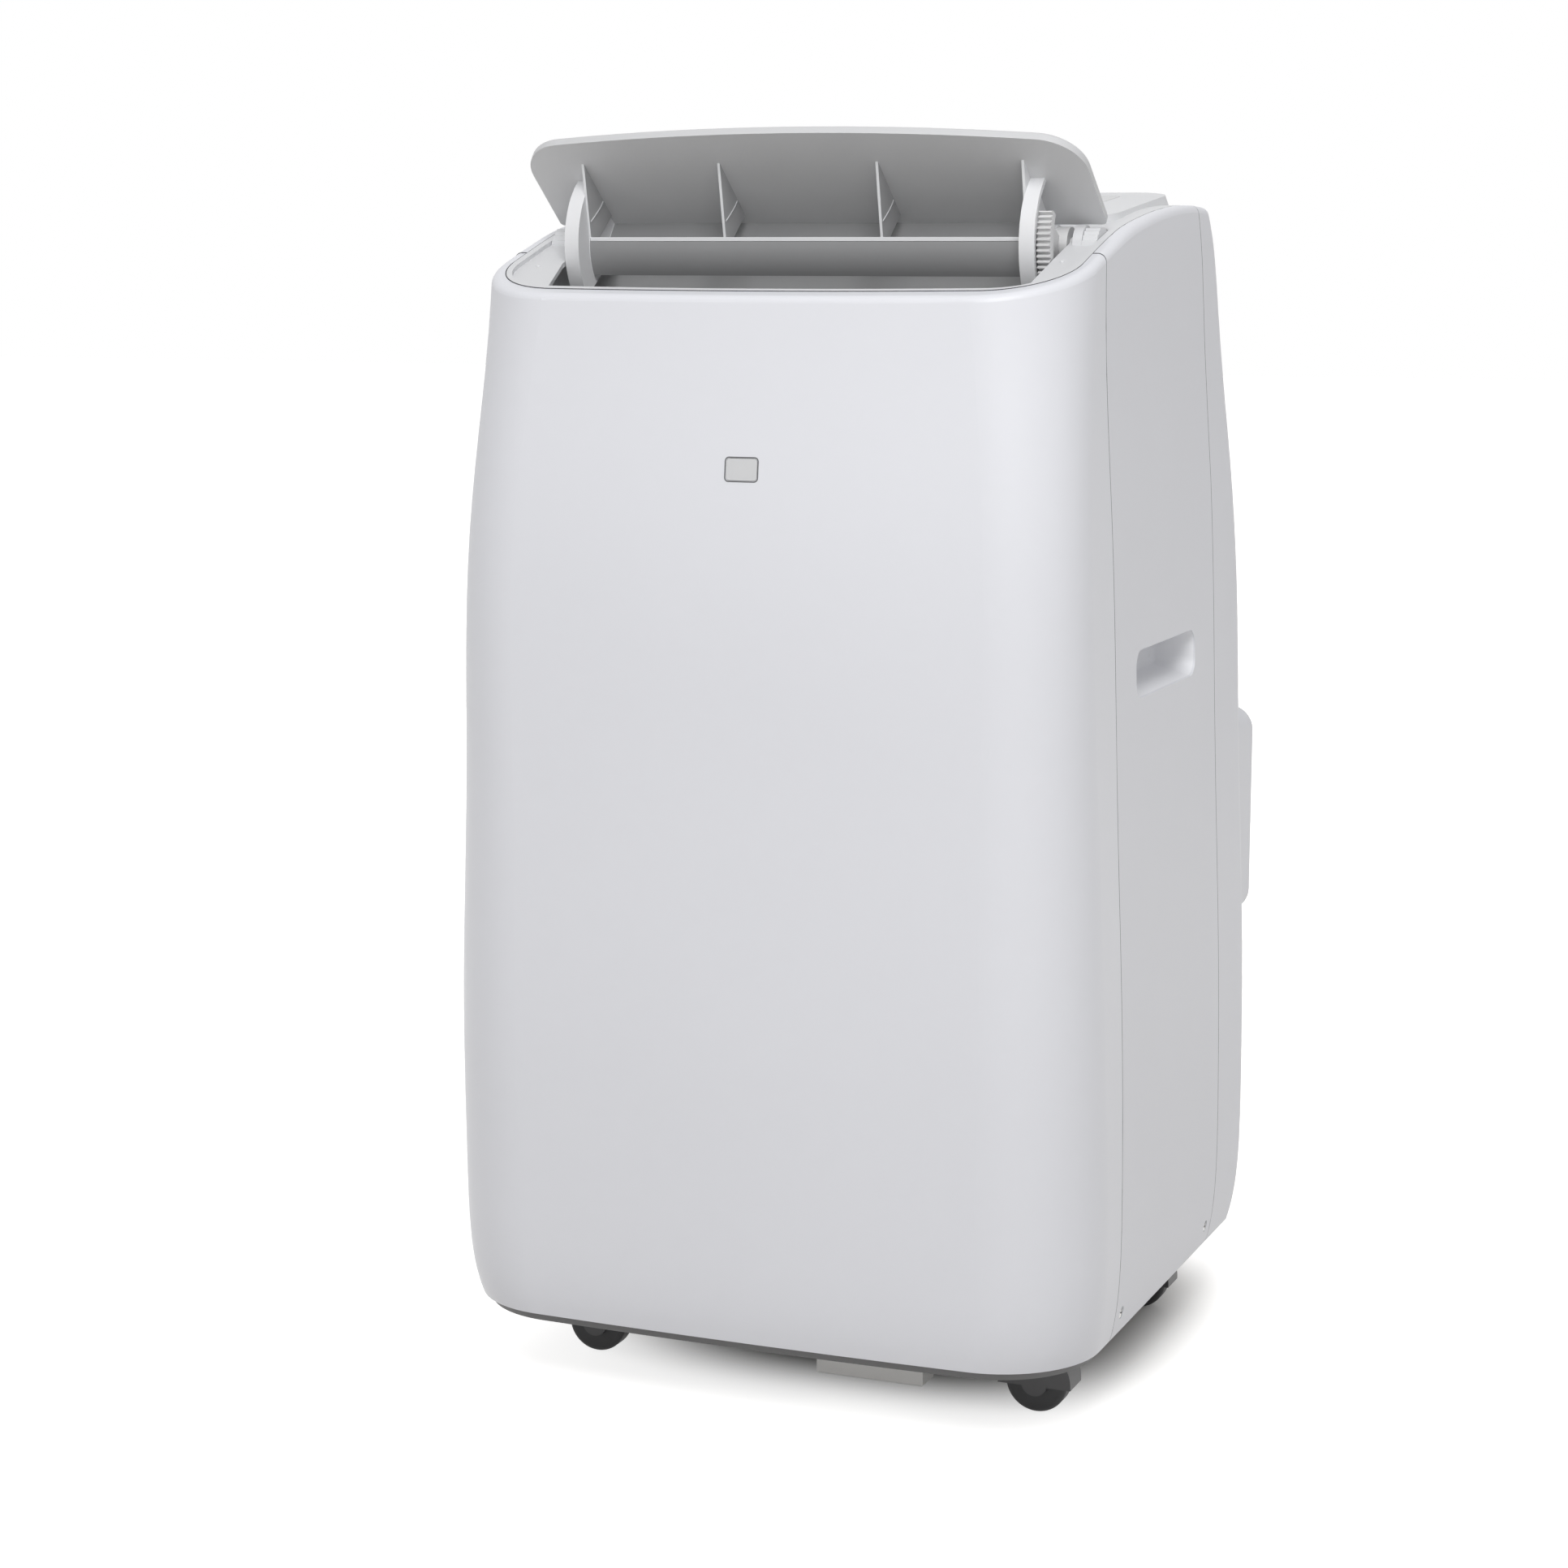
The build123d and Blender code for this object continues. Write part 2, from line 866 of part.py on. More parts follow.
def cheek_wedge():
    low = polar(2 * cheek_radius, cheek_low_angle)
    points = [
        (-hub_radius / 2, lid_under),
        (2 * cheek_radius, lid_under),
        (2 * cheek_radius, low[1]),
        low,
        (-hub_radius / 2, -hub_radius / 2),
    ]
    return side_polygon(points)


def vane_wedge():
    top = polar(2 * vane_radius, vane_top_angle)
    low = polar(2 * vane_radius, vane_low_angle)
    return side_polygon([(0, 0), top, (top[0], low[1]), low])


def louver_frame():
    disc = Circle(cheek_radius) & cheek_wedge()
    plate = disc + Circle(hub_radius)
    rim = disc - Circle(cheek_radius - cheek_rim)
    outer = cheek_inner + cheek_width
    cheek = profile_x(plate, cheek_inner, cheek_inner + cheek_plate)
    cheek = cheek + profile_x(rim, cheek_inner, outer)
    boss_end = outer
    boss = rod_x(hub_radius, cheek_inner, boss_end, 0, 0)
    right = cheek + boss
    frame = right + mirror(right, Plane.YZ)
    vane = (Circle(vane_radius) - Circle(vane_radius - vane_thick)) & vane_wedge()
    frame = frame + profile_x(vane, -cheek_inner - cheek_plate, cheek_inner + cheek_plate)
    edge = polar(vane_radius, vane_top_angle)
    foot = polar(vane_radius - vane_thick, vane_top_angle - 14.0)
    rib = side_polygon([edge, (rib_tip, lid_under), (rib_back, lid_under), foot])
    for offset in rib_offsets:
        frame = frame + profile_x(rib, offset - rib_thick / 2, offset + rib_thick / 2)
    skirt = side_polygon([
        (lid_back, lid_under),
        (lid_back + skirt_thick, lid_under),
        (lid_back + skirt_thick, -skirt_drop),
        (lid_back, -skirt_drop),
    ])
    frame = frame + profile_x(skirt, -cheek_inner, cheek_inner)
    for side in (-1, 1):
        frame = frame - rod_x(pin_radius, side * cheek_inner, side * far, 0, 0)
    return raised(frame)


def louver_pins():
    ear_end = outlet_right + ear_gap + ear_thick
    pins = []
    for side in (-1, 1):
        pins.append(rod_x(pin_radius, side * cheek_inner, side * ear_end, pivot_y, pivot_height))
    return pins


# Involute teeth, drawn round the origin in the side view with forward to the left
def involute(angle):
    return math.tan(angle) - angle


def tooth_face(pitch_radius, degrees):
    pressure = math.radians(20.0)
    base = pitch_radius * math.cos(pressure)
    root = pitch_radius - 1.4 * gear_module
    tip = pitch_radius + 0.95 * gear_module
    teeth = 2 * pitch_radius / gear_module
    half_pitch = math.pi / (2 * teeth) - gear_backlash / (2 * pitch_radius) + involute(pressure)
    radii = [root, max(root, base), pitch_radius - 0.5 * gear_module, pitch_radius, (pitch_radius + tip) / 2, tip]
    if base <= root:
        radii = radii[1:]
    flank = []
    for radius in radii:
        spread = half_pitch - involute(math.acos(min(1.0, base / radius)))
        flank.append((radius, math.degrees(spread)))
    points = [polar(radius, degrees - spread) for radius, spread in flank]
    points = points + [polar(radius, degrees + spread) for radius, spread in reversed(flank)]
    return side_polygon(points)


gear_centres = sector_pitch_radius + gear_module * pinion_teeth / 2 + gear_spread
pinion_forward, pinion_up = polar(gear_centres, pinion_angle)
pinion_y = pivot_y - pinion_forward
pinion_height = pivot_height + pinion_up
gear_inner = cheek_inner + cheek_width
gear_outer = gear_inner + gear_width


def louver_sector():
    step = 360.0 * gear_module / (2 * sector_pitch_radius)
    angles = [pinion_angle + step * place for place in range(-sector_below, sector_above + 1)]
    root = sector_pitch_radius - 1.3 * gear_module
    low = polar(2 * root, angles[0] - step / 2)
    high = polar(2 * root, angles[-1] + step / 2)
    wedge = side_polygon([(0, 0), low, (2 * root + low[0], 0), high])
    ring = (Circle(root) - Circle(root - sector_ring)) & wedge
    for angle in angles:
        ring = ring + tooth_face(sector_pitch_radius, angle)
    web = (Circle(root - sector_ring / 2) & wedge) + Circle(hub_radius - 1.0)
    sector = profile_x(ring, gear_inner, gear_outer)
    sector = sector + profile_x(web, gear_inner, gear_inner + sector_web)
    sector = sector + rod_x(hub_radius - 1.0, gear_inner, gear_outer, 0, 0)
    sector = sector - rod_x(pin_radius, -far, far, 0, 0)
    return Pos(0, pivot_y, pivot_height) * sector


def louver_pinion():
    pitch_radius = gear_module * pinion_teeth / 2
    step = 360.0 / pinion_teeth
    face = Circle(pitch_radius - 1.25 * gear_module)
    for place in range(pinion_teeth):
        face = face + tooth_face(pitch_radius, pinion_angle + 180.0 + (place + 0.5) * step)
    hub_end = gear_outer + pinion_hub_length
    pinion = profile_x(face, gear_inner, gear_outer)
    pinion = pinion + rod_x(pitch_radius - 2 * gear_module, gear_outer, hub_end, 0, 0)
    pinion = pinion + rod_x(pinion_shaft_radius, hub_end, motor_face + motor_length / 2, 0, 0)
    return Pos(0, pinion_y, pinion_height) * pinion


motor_face = duct_half_width + 0.2


def louver_motor():
    can_height = pinion_height - motor_drop
    can = rod_x(motor_radius, motor_face, motor_face + motor_length, pinion_y, can_height)
    can = fillet(can.edges().sort_by(Axis.X)[-1], 1.5)
    half = motor_ear_span / 2
    ear_plate = block(
        motor_face, motor_face + motor_ear_thick, pinion_y - half, pinion_y + half,
        can_height - motor_ear_width / 2, can_height + motor_ear_width / 2,
    )
    bore = rod_x(pinion_shaft_radius + running_gap, 0, motor_face + motor_length / 2 + 1.0, pinion_y, pinion_height)
    return can + ear_plate - bore


# Fans: a scroll housing, a motor on its front wall, and a bladed wheel on the motor shaft
def fan_wheel(radius, length, start):
    disc = rod_y(radius, start, start + fan_disc, 0, 0)
    end = start + length
    ring = rod_y(radius, end - fan_ring, end, 0, 0)
    ring = ring - rod_y(radius - fan_blade_chord * 0.6, end - fan_ring - 1.0, end + 1.0, 0, 0)
    hub = rod_y(fan_hub_radius, start, start + fan_shaft_grip, 0, 0)
    wheel = disc + hub
    middle = radius - fan_blade_chord * 0.45
    blade = Plane.XZ * (Pos(middle, 0) * Rot(0, 0, 38) * Rectangle(fan_blade_chord, fan_blade_thick))
    blade = Pos(0, end, 0) * extrude(blade, length)
    blade = blade & rod_y(radius, start, end, 0, 0)
    blades = [Rot(0, 360.0 * place / fan_blades, 0) * blade for place in range(fan_blades)]
    wheel = wheel + blades + ring
    return wheel - rod_y(fan_shaft_radius, start - far, start + far, 0, 0)


def fan_motor(radius, length, start):
    can = rod_y(radius, start, start + length, 0, 0)
    can = fillet(can.edges().sort_by(Axis.Y)[-1], 3.0)
    return can - rod_y(fan_shaft_radius + running_gap, start + 4.0, start + length + 1.0, 0, 0)


def fan_shaft(motor_start, motor_length):
    end = motor_start + motor_length + fan_gap + fan_shaft_grip
    return rod_y(fan_shaft_radius, motor_start + 5.0, end, 0, 0)


upper_place = Pos(0, 0, upper_fan_height)
upper_motor_start = duct_front + duct_wall
upper_wheel_start = upper_motor_start + upper_motor_length + fan_gap
lower_place = Pos(lower_fan_x, 0, lower_fan_height)
lower_motor_start = lower_scroll_front + duct_wall
lower_wheel_start = lower_motor_start + lower_motor_length + fan_gap


def duct_face(shrink):
    half = duct_half_width - shrink
    neck = upper_scroll_radius - 12.0 - shrink
    points = [
        (-neck, upper_fan_height),
        (neck, upper_fan_height),
        (neck, duct_neck_height),
        (half, duct_shoulder),
        (half, far),
        (-half, far),
        (-half, duct_shoulder),
        (-neck, duct_neck_height),
    ]
    throat = make_face(Polyline(*points, close=True))
    return throat + Pos(0, upper_fan_height) * Circle(upper_scroll_radius - shrink)


def along_y(face, y0, y1):
    return Pos(0, y1, 0) * extrude(Plane.XZ * face, y1 - y0)


def evaporator_scroll():
    casing = wall + partition_gap
    top = dome(tray_depth + cover_wall + duct_gap)
    outer = along_y(duct_face(0), duct_front, duct_rear) & blank(casing) & top
    inner = along_y(duct_face(duct_wall), duct_front + duct_wall, duct_rear - duct_wall)
    scroll = outer - (inner & blank(casing + duct_wall)) - (inner - dome(tray_depth + 2 * cover_wall))
    scroll = scroll - upper_place * rod_y(upper_wheel_radius - fan_blade_chord, duct_rear - 9.0, 0, 0, 0)
    return scroll - rod_x(pinion_shaft_radius + 1.5, 0, far, pinion_y, pinion_height)


def elbow_block(shrink):
    half_x = exhaust_bore + exhaust_wall + elbow_margin + duct_wall - shrink
    rear = elbow_rear + (far if shrink else 0)
    return block(
        exhaust_x - half_x, exhaust_x + half_x, lower_scroll_front + shrink, rear,
        exhaust_height - half_x, exhaust_height + half_x,
    )


def lower_scroll_solid(shrink):
    radius = lower_scroll_radius - shrink
    neck_top = exhaust_height - exhaust_bore
    neck = block(
        lower_fan_x, lower_fan_x + radius, lower_scroll_front + shrink, lower_scroll_rear - shrink,
        lower_fan_height, neck_top,
    )
    drum = lower_place * rod_y(radius, lower_scroll_front + shrink, lower_scroll_rear - shrink, 0, 0)
    return drum + neck


def condenser_scroll():
    outer = lower_scroll_solid(0) + elbow_block(0)
    for y in (lower_scroll_front, lower_scroll_rear - duct_wall):  # two feet that stand on the pan floor
        outer = outer + block(
            lower_fan_x - scroll_foot_half, lower_fan_x + scroll_foot_half, y, y + duct_wall,
            pan_bottom + pan_floor, lower_fan_height,
        )
    inner = lower_scroll_solid(duct_wall) + elbow_block(duct_wall)
    scroll = outer - inner
    inlet = rod_y(lower_wheel_radius - fan_blade_chord, lower_scroll_rear - 9.0, lower_scroll_rear + 9.0, 0, 0)
    return scroll - lower_place * inlet


# Partition, coils and compressor
def partition():
    top = partition_height + partition_thick
    plate = blank(wall + partition_gap) & block(-far, far, -far, far, partition_height, top)
    rear = evaporator_front + evaporator_depth
    half = evaporator_half_width + tray_end_room
    wall_ring = block(-half, half, evaporator_front - 6.0, rear + 6.0, top, top + tray_wall_rise)
    wall_ring = wall_ring - block(-half + 2, half - 2, evaporator_front - 4.0, rear + 4.0, top, far)
    plate = plate + wall_ring
    for side in (-1, 1):
        plate = plate - (grip_cavity(grip_wall + 1.0, side))
    for x, y in line_holes():
        plate = plate - rod_z(line_hole, 0, far, x, y)
    return plate


suction_y = evaporator_front + evaporator_depth * 0.3
liquid_y = evaporator_front + evaporator_depth * 0.7


def line_holes():
    return [(line_run_x, suction_y), (line_run_x, liquid_y)]


def coil(half, front, depth, bottom, rise):
    core = block(-half, half, front, front + depth, bottom, bottom + rise)
    for side in (-1, 1):
        end = side * half
        x0, x1 = sorted((end, end + side * coil_end_plate))
        core = core + block(x0, x1, front - 2.0, front + depth + 2.0, bottom, bottom + rise)
    pitch = rise / (2 * coil_bends)
    for place in range(coil_bends):
        z = bottom + pitch * (2 * place + 1)
        bend = Torus(pitch / 2, coil_tube_radius)
        bend = Pos(half + coil_end_plate, front + depth / 2, z) * Rot(90, 0, 0) * bend
        core = core + (bend & block(half, far, -far, far, 0, far))
    return core


evaporator_bottom = partition_height + partition_thick


def evaporator():
    return coil(evaporator_half_width, evaporator_front, evaporator_depth, evaporator_bottom, evaporator_rise)


def condenser():
    core = coil(condenser_half_width, condenser_front, condenser_depth, condenser_bottom, condenser_rise)
    rear = condenser_front + condenser_depth
    for side in (-1, 1):
        x0, x1 = sorted((side * leg_inner, side * (leg_inner + leg_width)))
        core = core + block(x0, x1, condenser_front, rear, pan_bottom + pan_floor, condenser_bottom)
    return core


def foot_places():
    places = []
    for degrees in (60.0, 180.0, 300.0):
        x, y = polar(foot_reach, degrees)
        places.append((compressor_x + x, compressor_y + y))
    return places


def pressure_vessel(radius, bottom, rise, crown):
    vessel = rod_z(radius, bottom, bottom + rise, 0, 0)
    vessel = fillet(vessel.edges().sort_by(Axis.Z)[-1], crown)
    return fillet(vessel.edges().sort_by(Axis.Z)[0], crown / 2)


def compressor():
    base = compressor_bottom + foot_thick
    vessel = pressure_vessel(compressor_radius, base, compressor_rise, compressor_dome)
    vessel = Pos(compressor_x, compressor_y, 0) * vessel
    for x, y in foot_places():
        arm = Pos((x + compressor_x) / 2, (y + compressor_y) / 2, compressor_bottom + foot_thick / 2)
        heading = math.degrees(math.atan2(y - compressor_y, x - compressor_x))
        vessel = vessel + arm * Rot(0, 0, heading) * Box(foot_reach, 2 * foot_radius, foot_thick)
        vessel = vessel + rod_z(foot_radius, compressor_bottom, base, x, y)
    for x, y in foot_places():
        vessel = vessel - rod_z(stud_radius + fit_gap, 0, base, x, y)
    return vessel


def compressor_grommets():
    pads = []
    for x, y in foot_places():
        pad = rod_z(grommet_radius, pan_bottom + pan_floor, compressor_bottom, x, y)
        pads.append(pad - rod_z(stud_radius + running_gap, 0, far, x, y))
    return pads


accumulator_x = compressor_x


def accumulator():
    vessel = pressure_vessel(accumulator_radius, accumulator_bottom, accumulator_rise, accumulator_dome)
    vessel = Pos(accumulator_x, accumulator_y, 0) * vessel
    low = accumulator_bottom + accumulator_rise / 2 - strap_width / 2
    strap = block(
        accumulator_x - 8.0, accumulator_x + 8.0, compressor_y, accumulator_y, low, low + strap_width,
    )
    clear = rod_z(compressor_radius + 0.1, 0, far, compressor_x, compressor_y)
    return vessel + (strap - clear)


def tube_along(points):
    route = FilletPolyline(*points, radius=line_bend)
    return sweep(Plane(origin=route @ 0, z_dir=route % 0) * Circle(line_radius), path=route)


def suction_line():
    top = accumulator_bottom + accumulator_rise
    rise = partition_height - 60.0
    inlet = evaporator_bottom + evaporator_rise * 0.75
    return tube_along([
        (accumulator_x, accumulator_y, top),
        (accumulator_x, accumulator_y, rise),
        (line_run_x, suction_y, rise),
        (line_run_x, suction_y, inlet),
        (-evaporator_half_width - coil_end_plate, suction_y, inlet),
    ])


def liquid_line():
    outlet = condenser_bottom + condenser_rise * 0.2
    inlet = evaporator_bottom + evaporator_rise * 0.25
    start_y = condenser_front + condenser_depth * 0.8
    return tube_along([
        (-condenser_half_width - coil_end_plate, start_y, outlet),
        (line_run_x, start_y, outlet),
        (line_run_x, start_y, outlet + 60.0),
        (line_run_x, liquid_y, outlet + 120.0),
        (line_run_x, liquid_y, inlet),
        (-evaporator_half_width - coil_end_plate, liquid_y, inlet),
    ])


def discharge_line():
    top = compressor_bottom + foot_thick + compressor_rise
    inlet = condenser_bottom + condenser_rise * 0.85
    entry_y = condenser_front + condenser_depth * 0.25
    return tube_along([
        (compressor_x, compressor_y, top),
        (compressor_x, compressor_y, top + line_lift),
        (discharge_run_x, entry_y, top + line_lift),
        (discharge_run_x, entry_y, inlet),
        (-condenser_half_width - coil_end_plate, entry_y, inlet),
    ])


# Casters, drawn round the stem axis with the wheel trailing towards -Y, then turned
def caster_parts():
    half = caster_wheel_width / 2
    axle_y = -caster_trail
    tread = caster_wheel_radius
    wheel = rod_x(tread, -half, half, axle_y, tread)
    rims = wheel.edges().filter_by(GeomType.CIRCLE)
    wheel = fillet(rims, caster_tread_edge)
    wheel = wheel - rod_x(caster_axle_radius + running_gap, -far, far, axle_y, tread)
    inner = half + caster_side_gap
    outer = inner + caster_cheek
    top = pan_bottom - caster_top_gap
    hood_radius = tread + caster_hood_gap + caster_hood_wall
    drum = rod_x(hood_radius, -outer, outer, axle_y, tread)
    head = rod_z(stem_boss, tread + caster_wheel_radius * 0.5, top, 0, 0)
    lower_cut = block(-far, far, -far, far, -far, tread - 2.0)
    fork = drum - lower_cut
    boss = rod_x(caster_axle_boss, -outer, outer, axle_y, tread)
    fork = fork + boss + head
    fork = fork & block(-far, far, -far, far, 0, top)
    fork = fork - rod_x(tread + caster_hood_gap, -inner, inner, axle_y, tread)
    fork = fork + rod_z(stem_radius, top - 1.0, pan_bottom + stem_rise - 1.0, 0, 0)
    fork = fork - rod_x(tread + caster_hood_gap, -inner, inner, axle_y, tread)
    fork = fork - rod_x(caster_axle_radius, -far, far, axle_y, tread)
    axle = rod_x(caster_axle_radius, -outer, outer, axle_y, tread)
    return fork, wheel, axle


def write(name, shape):
    solids = shape if isinstance(shape, list) else [shape]
    whole = Compound(children=[solid for item in solids for solid in item.solids()])
    if len(whole.solids()) == 1:
        whole = whole.solids()[0]
    whole.label = name
    export_step(whole, os.path.join("parts", name + ".step"))


def main():
    os.makedirs("parts", exist_ok=True)
    shell = panel_blank()
    write("base_pan", base_pan())
    write("front_panel", front_panel(shell))
    write("side_panel_left", side_panel(shell, -1))
    write("side_panel_right", side_panel(shell, 1))
    write("rear_panel", rear_panel(shell))
    write("case_screws", case_screws())
    write("top_cover", top_cover())
    write("control_panel", control_panel())
    write("display_window", display_window())
    write("control_board", control_board())
    for index, name in enumerate(button_names):
        write("button_" + name, push_button(index))
    write("receiver_window", receiver_window())
    write("receiver_board", receiver_board())
    write("exhaust_outlet", exhaust_outlet())
    write("upper_grille", upper_grille())
    write("filter_screen", filter_screen())
    write("lower_grille", lower_grille())
    write("drain_spigot", drain_spigot())
    write("drain_plug", drain_plug())
    write("cord_gland", cord_gland())
    write("louver_lid", louver_lid())
    write("louver_frame", louver_frame())
    write("louver_sector", louver_sector())
    write("louver_pins", louver_pins())
    write("louver_pinion", louver_pinion())
    write("louver_motor", louver_motor())
    write("evaporator_scroll", evaporator_scroll())
    upper_wheel = fan_wheel(upper_wheel_radius, upper_wheel_length, upper_wheel_start)
    write("evaporator_fan_wheel", upper_place * upper_wheel)
    write("evaporator_fan_shaft", upper_place * fan_shaft(upper_motor_start, upper_motor_length))
    write("evaporator_fan_motor", upper_place * fan_motor(upper_motor_radius, upper_motor_length, upper_motor_start))
    write("condenser_scroll", condenser_scroll())
    lower_wheel = fan_wheel(lower_wheel_radius, lower_wheel_length, lower_wheel_start)
    write("condenser_fan_wheel", lower_place * lower_wheel)
    write("condenser_fan_shaft", lower_place * fan_shaft(lower_motor_start, lower_motor_length))
    write("condenser_fan_motor", lower_place * fan_motor(lower_motor_radius, lower_motor_length, lower_motor_start))
    write("partition", partition())
    write("evaporator", evaporator())
    write("condenser", condenser())
    write("compressor", compressor())
    write("compressor_grommets", compressor_grommets())
    write("accumulator", accumulator())
    write("suction_line", suction_line())
    write("liquid_line", liquid_line())
    write("discharge_line", discharge_line())
    fork, wheel, axle = caster_parts()
    corners = ("front_left", "front_right", "rear_left", "rear_right")
    for corner, (x, y) in zip(corners, stem_places()):
        place = Pos(x, y, 0) * Rot(0, 0, caster_turn)
        write("caster_fork_" + corner, place * fork)
        write("caster_wheel_" + corner, place * wheel)
        write("caster_axle_" + corner, place * axle)


main()
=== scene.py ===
import math
import bmesh
import bpy
from mathutils import Matrix, Vector
from mathutils.bvhtree import BVHTree


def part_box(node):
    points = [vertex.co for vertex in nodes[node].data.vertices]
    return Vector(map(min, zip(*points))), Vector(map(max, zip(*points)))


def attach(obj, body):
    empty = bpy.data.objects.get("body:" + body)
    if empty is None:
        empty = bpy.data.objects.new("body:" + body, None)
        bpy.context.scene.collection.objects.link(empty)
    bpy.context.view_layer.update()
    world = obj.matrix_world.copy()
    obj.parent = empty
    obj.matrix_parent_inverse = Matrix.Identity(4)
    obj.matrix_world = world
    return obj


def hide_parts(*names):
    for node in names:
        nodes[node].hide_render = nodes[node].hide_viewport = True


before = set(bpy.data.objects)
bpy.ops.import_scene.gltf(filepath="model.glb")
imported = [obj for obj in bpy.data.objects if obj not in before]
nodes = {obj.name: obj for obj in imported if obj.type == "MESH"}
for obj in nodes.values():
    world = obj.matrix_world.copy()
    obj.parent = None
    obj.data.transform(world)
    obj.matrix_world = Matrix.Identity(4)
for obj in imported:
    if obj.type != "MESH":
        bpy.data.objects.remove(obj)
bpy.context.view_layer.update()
scene = bpy.context.scene
scene.view_settings.view_transform = "Standard"
print("frame loaded:", len(nodes), "nodes")


# camera at the photograph's viewing angle; lengths are in metres and angles in degrees throughout
cameraSettings = {
    "place": (0.7236, -1.8954, 0.6846),
    "turn": 22.354,
    "tiltDown": 9.335,
    "lens": 75.49,
    "sensor": 36.0,
    "clipEnd": 50.0,
}


def addCamera(settings):
    data = bpy.data.cameras.new("photoCamera")
    data.lens = settings["lens"]
    data.sensor_width = settings["sensor"]
    data.clip_end = settings["clipEnd"]
    camera = bpy.data.objects.new("photoCamera", data)
    camera.location = settings["place"]
    camera.rotation_euler = (math.radians(90.0 - settings["tiltDown"]), 0.0, math.radians(settings["turn"]))
    scene.collection.objects.link(camera)
    scene.camera = camera


addCamera(cameraSettings)
print("camera placed")


# node helpers
def addNode(tree, kind, **values):
    node = tree.nodes.new(kind)
    for name, value in values.items():
        node.inputs[name].default_value = value
    return node


def calc(tree, operation, first, second=None):
    node = tree.nodes.new("ShaderNodeMath")
    node.operation = operation
    for socket, value in zip(node.inputs, (first, second)):
        if value is None:
            continue
        if isinstance(value, (int, float)):
            socket.default_value = value
        else:
            tree.links.new(value, socket)
    return node.outputs[0]


def between(tree, value, span):
    above = calc(tree, "GREATER_THAN", value, span[0])
    return calc(tree, "MULTIPLY", above, calc(tree, "LESS_THAN", value, span[1]))


def addRange(tree, source, low, high, fromLow=0.0, fromHigh=1.0, smooth=False):
    spread = addNode(tree, "ShaderNodeMapRange")
    spread.interpolation_type = "SMOOTHSTEP" if smooth else "LINEAR"
    spread.inputs["From Min"].default_value = fromLow
    spread.inputs["From Max"].default_value = fromHigh
    spread.inputs["To Min"].default_value = low
    spread.inputs["To Max"].default_value = high
    tree.links.new(source, spread.inputs["Value"])
    return spread.outputs["Result"]


def addRamp(tree, source, stops):
    ramp = tree.nodes.new("ShaderNodeValToRGB")
    while len(ramp.color_ramp.elements) < len(stops):
        ramp.color_ramp.elements.new(0.5)
    for element, (place, colour) in zip(ramp.color_ramp.elements, stops):
        element.position = place
        element.color = (*colour, 1.0)
    tree.links.new(source, ramp.inputs["Fac"])
    return ramp.outputs["Color"]


def mixColour(tree, share, first, second):
    mix = tree.nodes.new("ShaderNodeMix")
    mix.data_type = "RGBA"
    tree.links.new(share, mix.inputs["Factor"])
    tree.links.new(first, mix.inputs["A"])
    tree.links.new(second, mix.inputs["B"])
    return mix.outputs["Result"]


# world, floor and lamps
stageSettings = {
    "worldLight": 0.41,
    "floorSize": 30.0,
    "floorColour": (0.64, 0.628, 0.612, 1.0),
    "middle": (0.02, 0.06),
    "floorLift": 0.80,
    "nearStart": 0.125,
    "nearEnd": 0.21,
    "farLift": 0.2,
    "farStart": 0.45,
    "farEnd": 1.3,
    "zonePower": 3.0,
    "white": (1.0, 1.0, 1.0, 1.0),
}
lampSettings = [
    # name, place, aim, width, height, watts, shows in reflections
    ("keyLamp", (0.6, -1.65, 2.0), (0.0, -0.15, 0.5), 1.2, 1.0, 36.5, True),
    ("fillLamp", (0.2, -2.6, 0.35), (0.0, -0.1, 0.4), 1.6, 0.6, 2.5, False),
    ("sideLamp", (2.7, -0.1, 1.2), (0.2, 0.0, 0.45), 1.5, 1.5, 5.2, False),
    ("leftLamp", (-2.7, 0.5, 1.2), (-0.2, 0.0, 0.45), 1.5, 1.5, 9.0, False),
    ("rearLamp", (-0.6, 2.7, 1.7), (0.0, 0.15, 0.4), 1.6, 1.6, 25.0, False),
]


def seenDirectly(tree):
    path = tree.nodes.new("ShaderNodeLightPath")
    eye = calc(tree, "MAXIMUM", path.outputs["Is Camera Ray"], path.outputs["Is Transmission Ray"])
    return calc(tree, "MAXIMUM", eye, path.outputs["Is Glossy Ray"])


def addWorld(settings):
    world = bpy.data.worlds.new("studioWorld")
    scene.world = world
    world.use_nodes = True
    tree = world.node_tree
    tree.nodes.clear()
    output = tree.nodes.new("ShaderNodeOutputWorld")
    mix = tree.nodes.new("ShaderNodeMixShader")
    light = addNode(tree, "ShaderNodeBackground", Color=settings["white"], Strength=settings["worldLight"])
    seen = addNode(tree, "ShaderNodeBackground", Color=settings["white"], Strength=1.0)
    tree.links.new(seenDirectly(tree), mix.inputs[0])
    tree.links.new(light.outputs[0], mix.inputs[1])
    tree.links.new(seen.outputs[0], mix.inputs[2])
    tree.links.new(mix.outputs[0], output.inputs["Surface"])


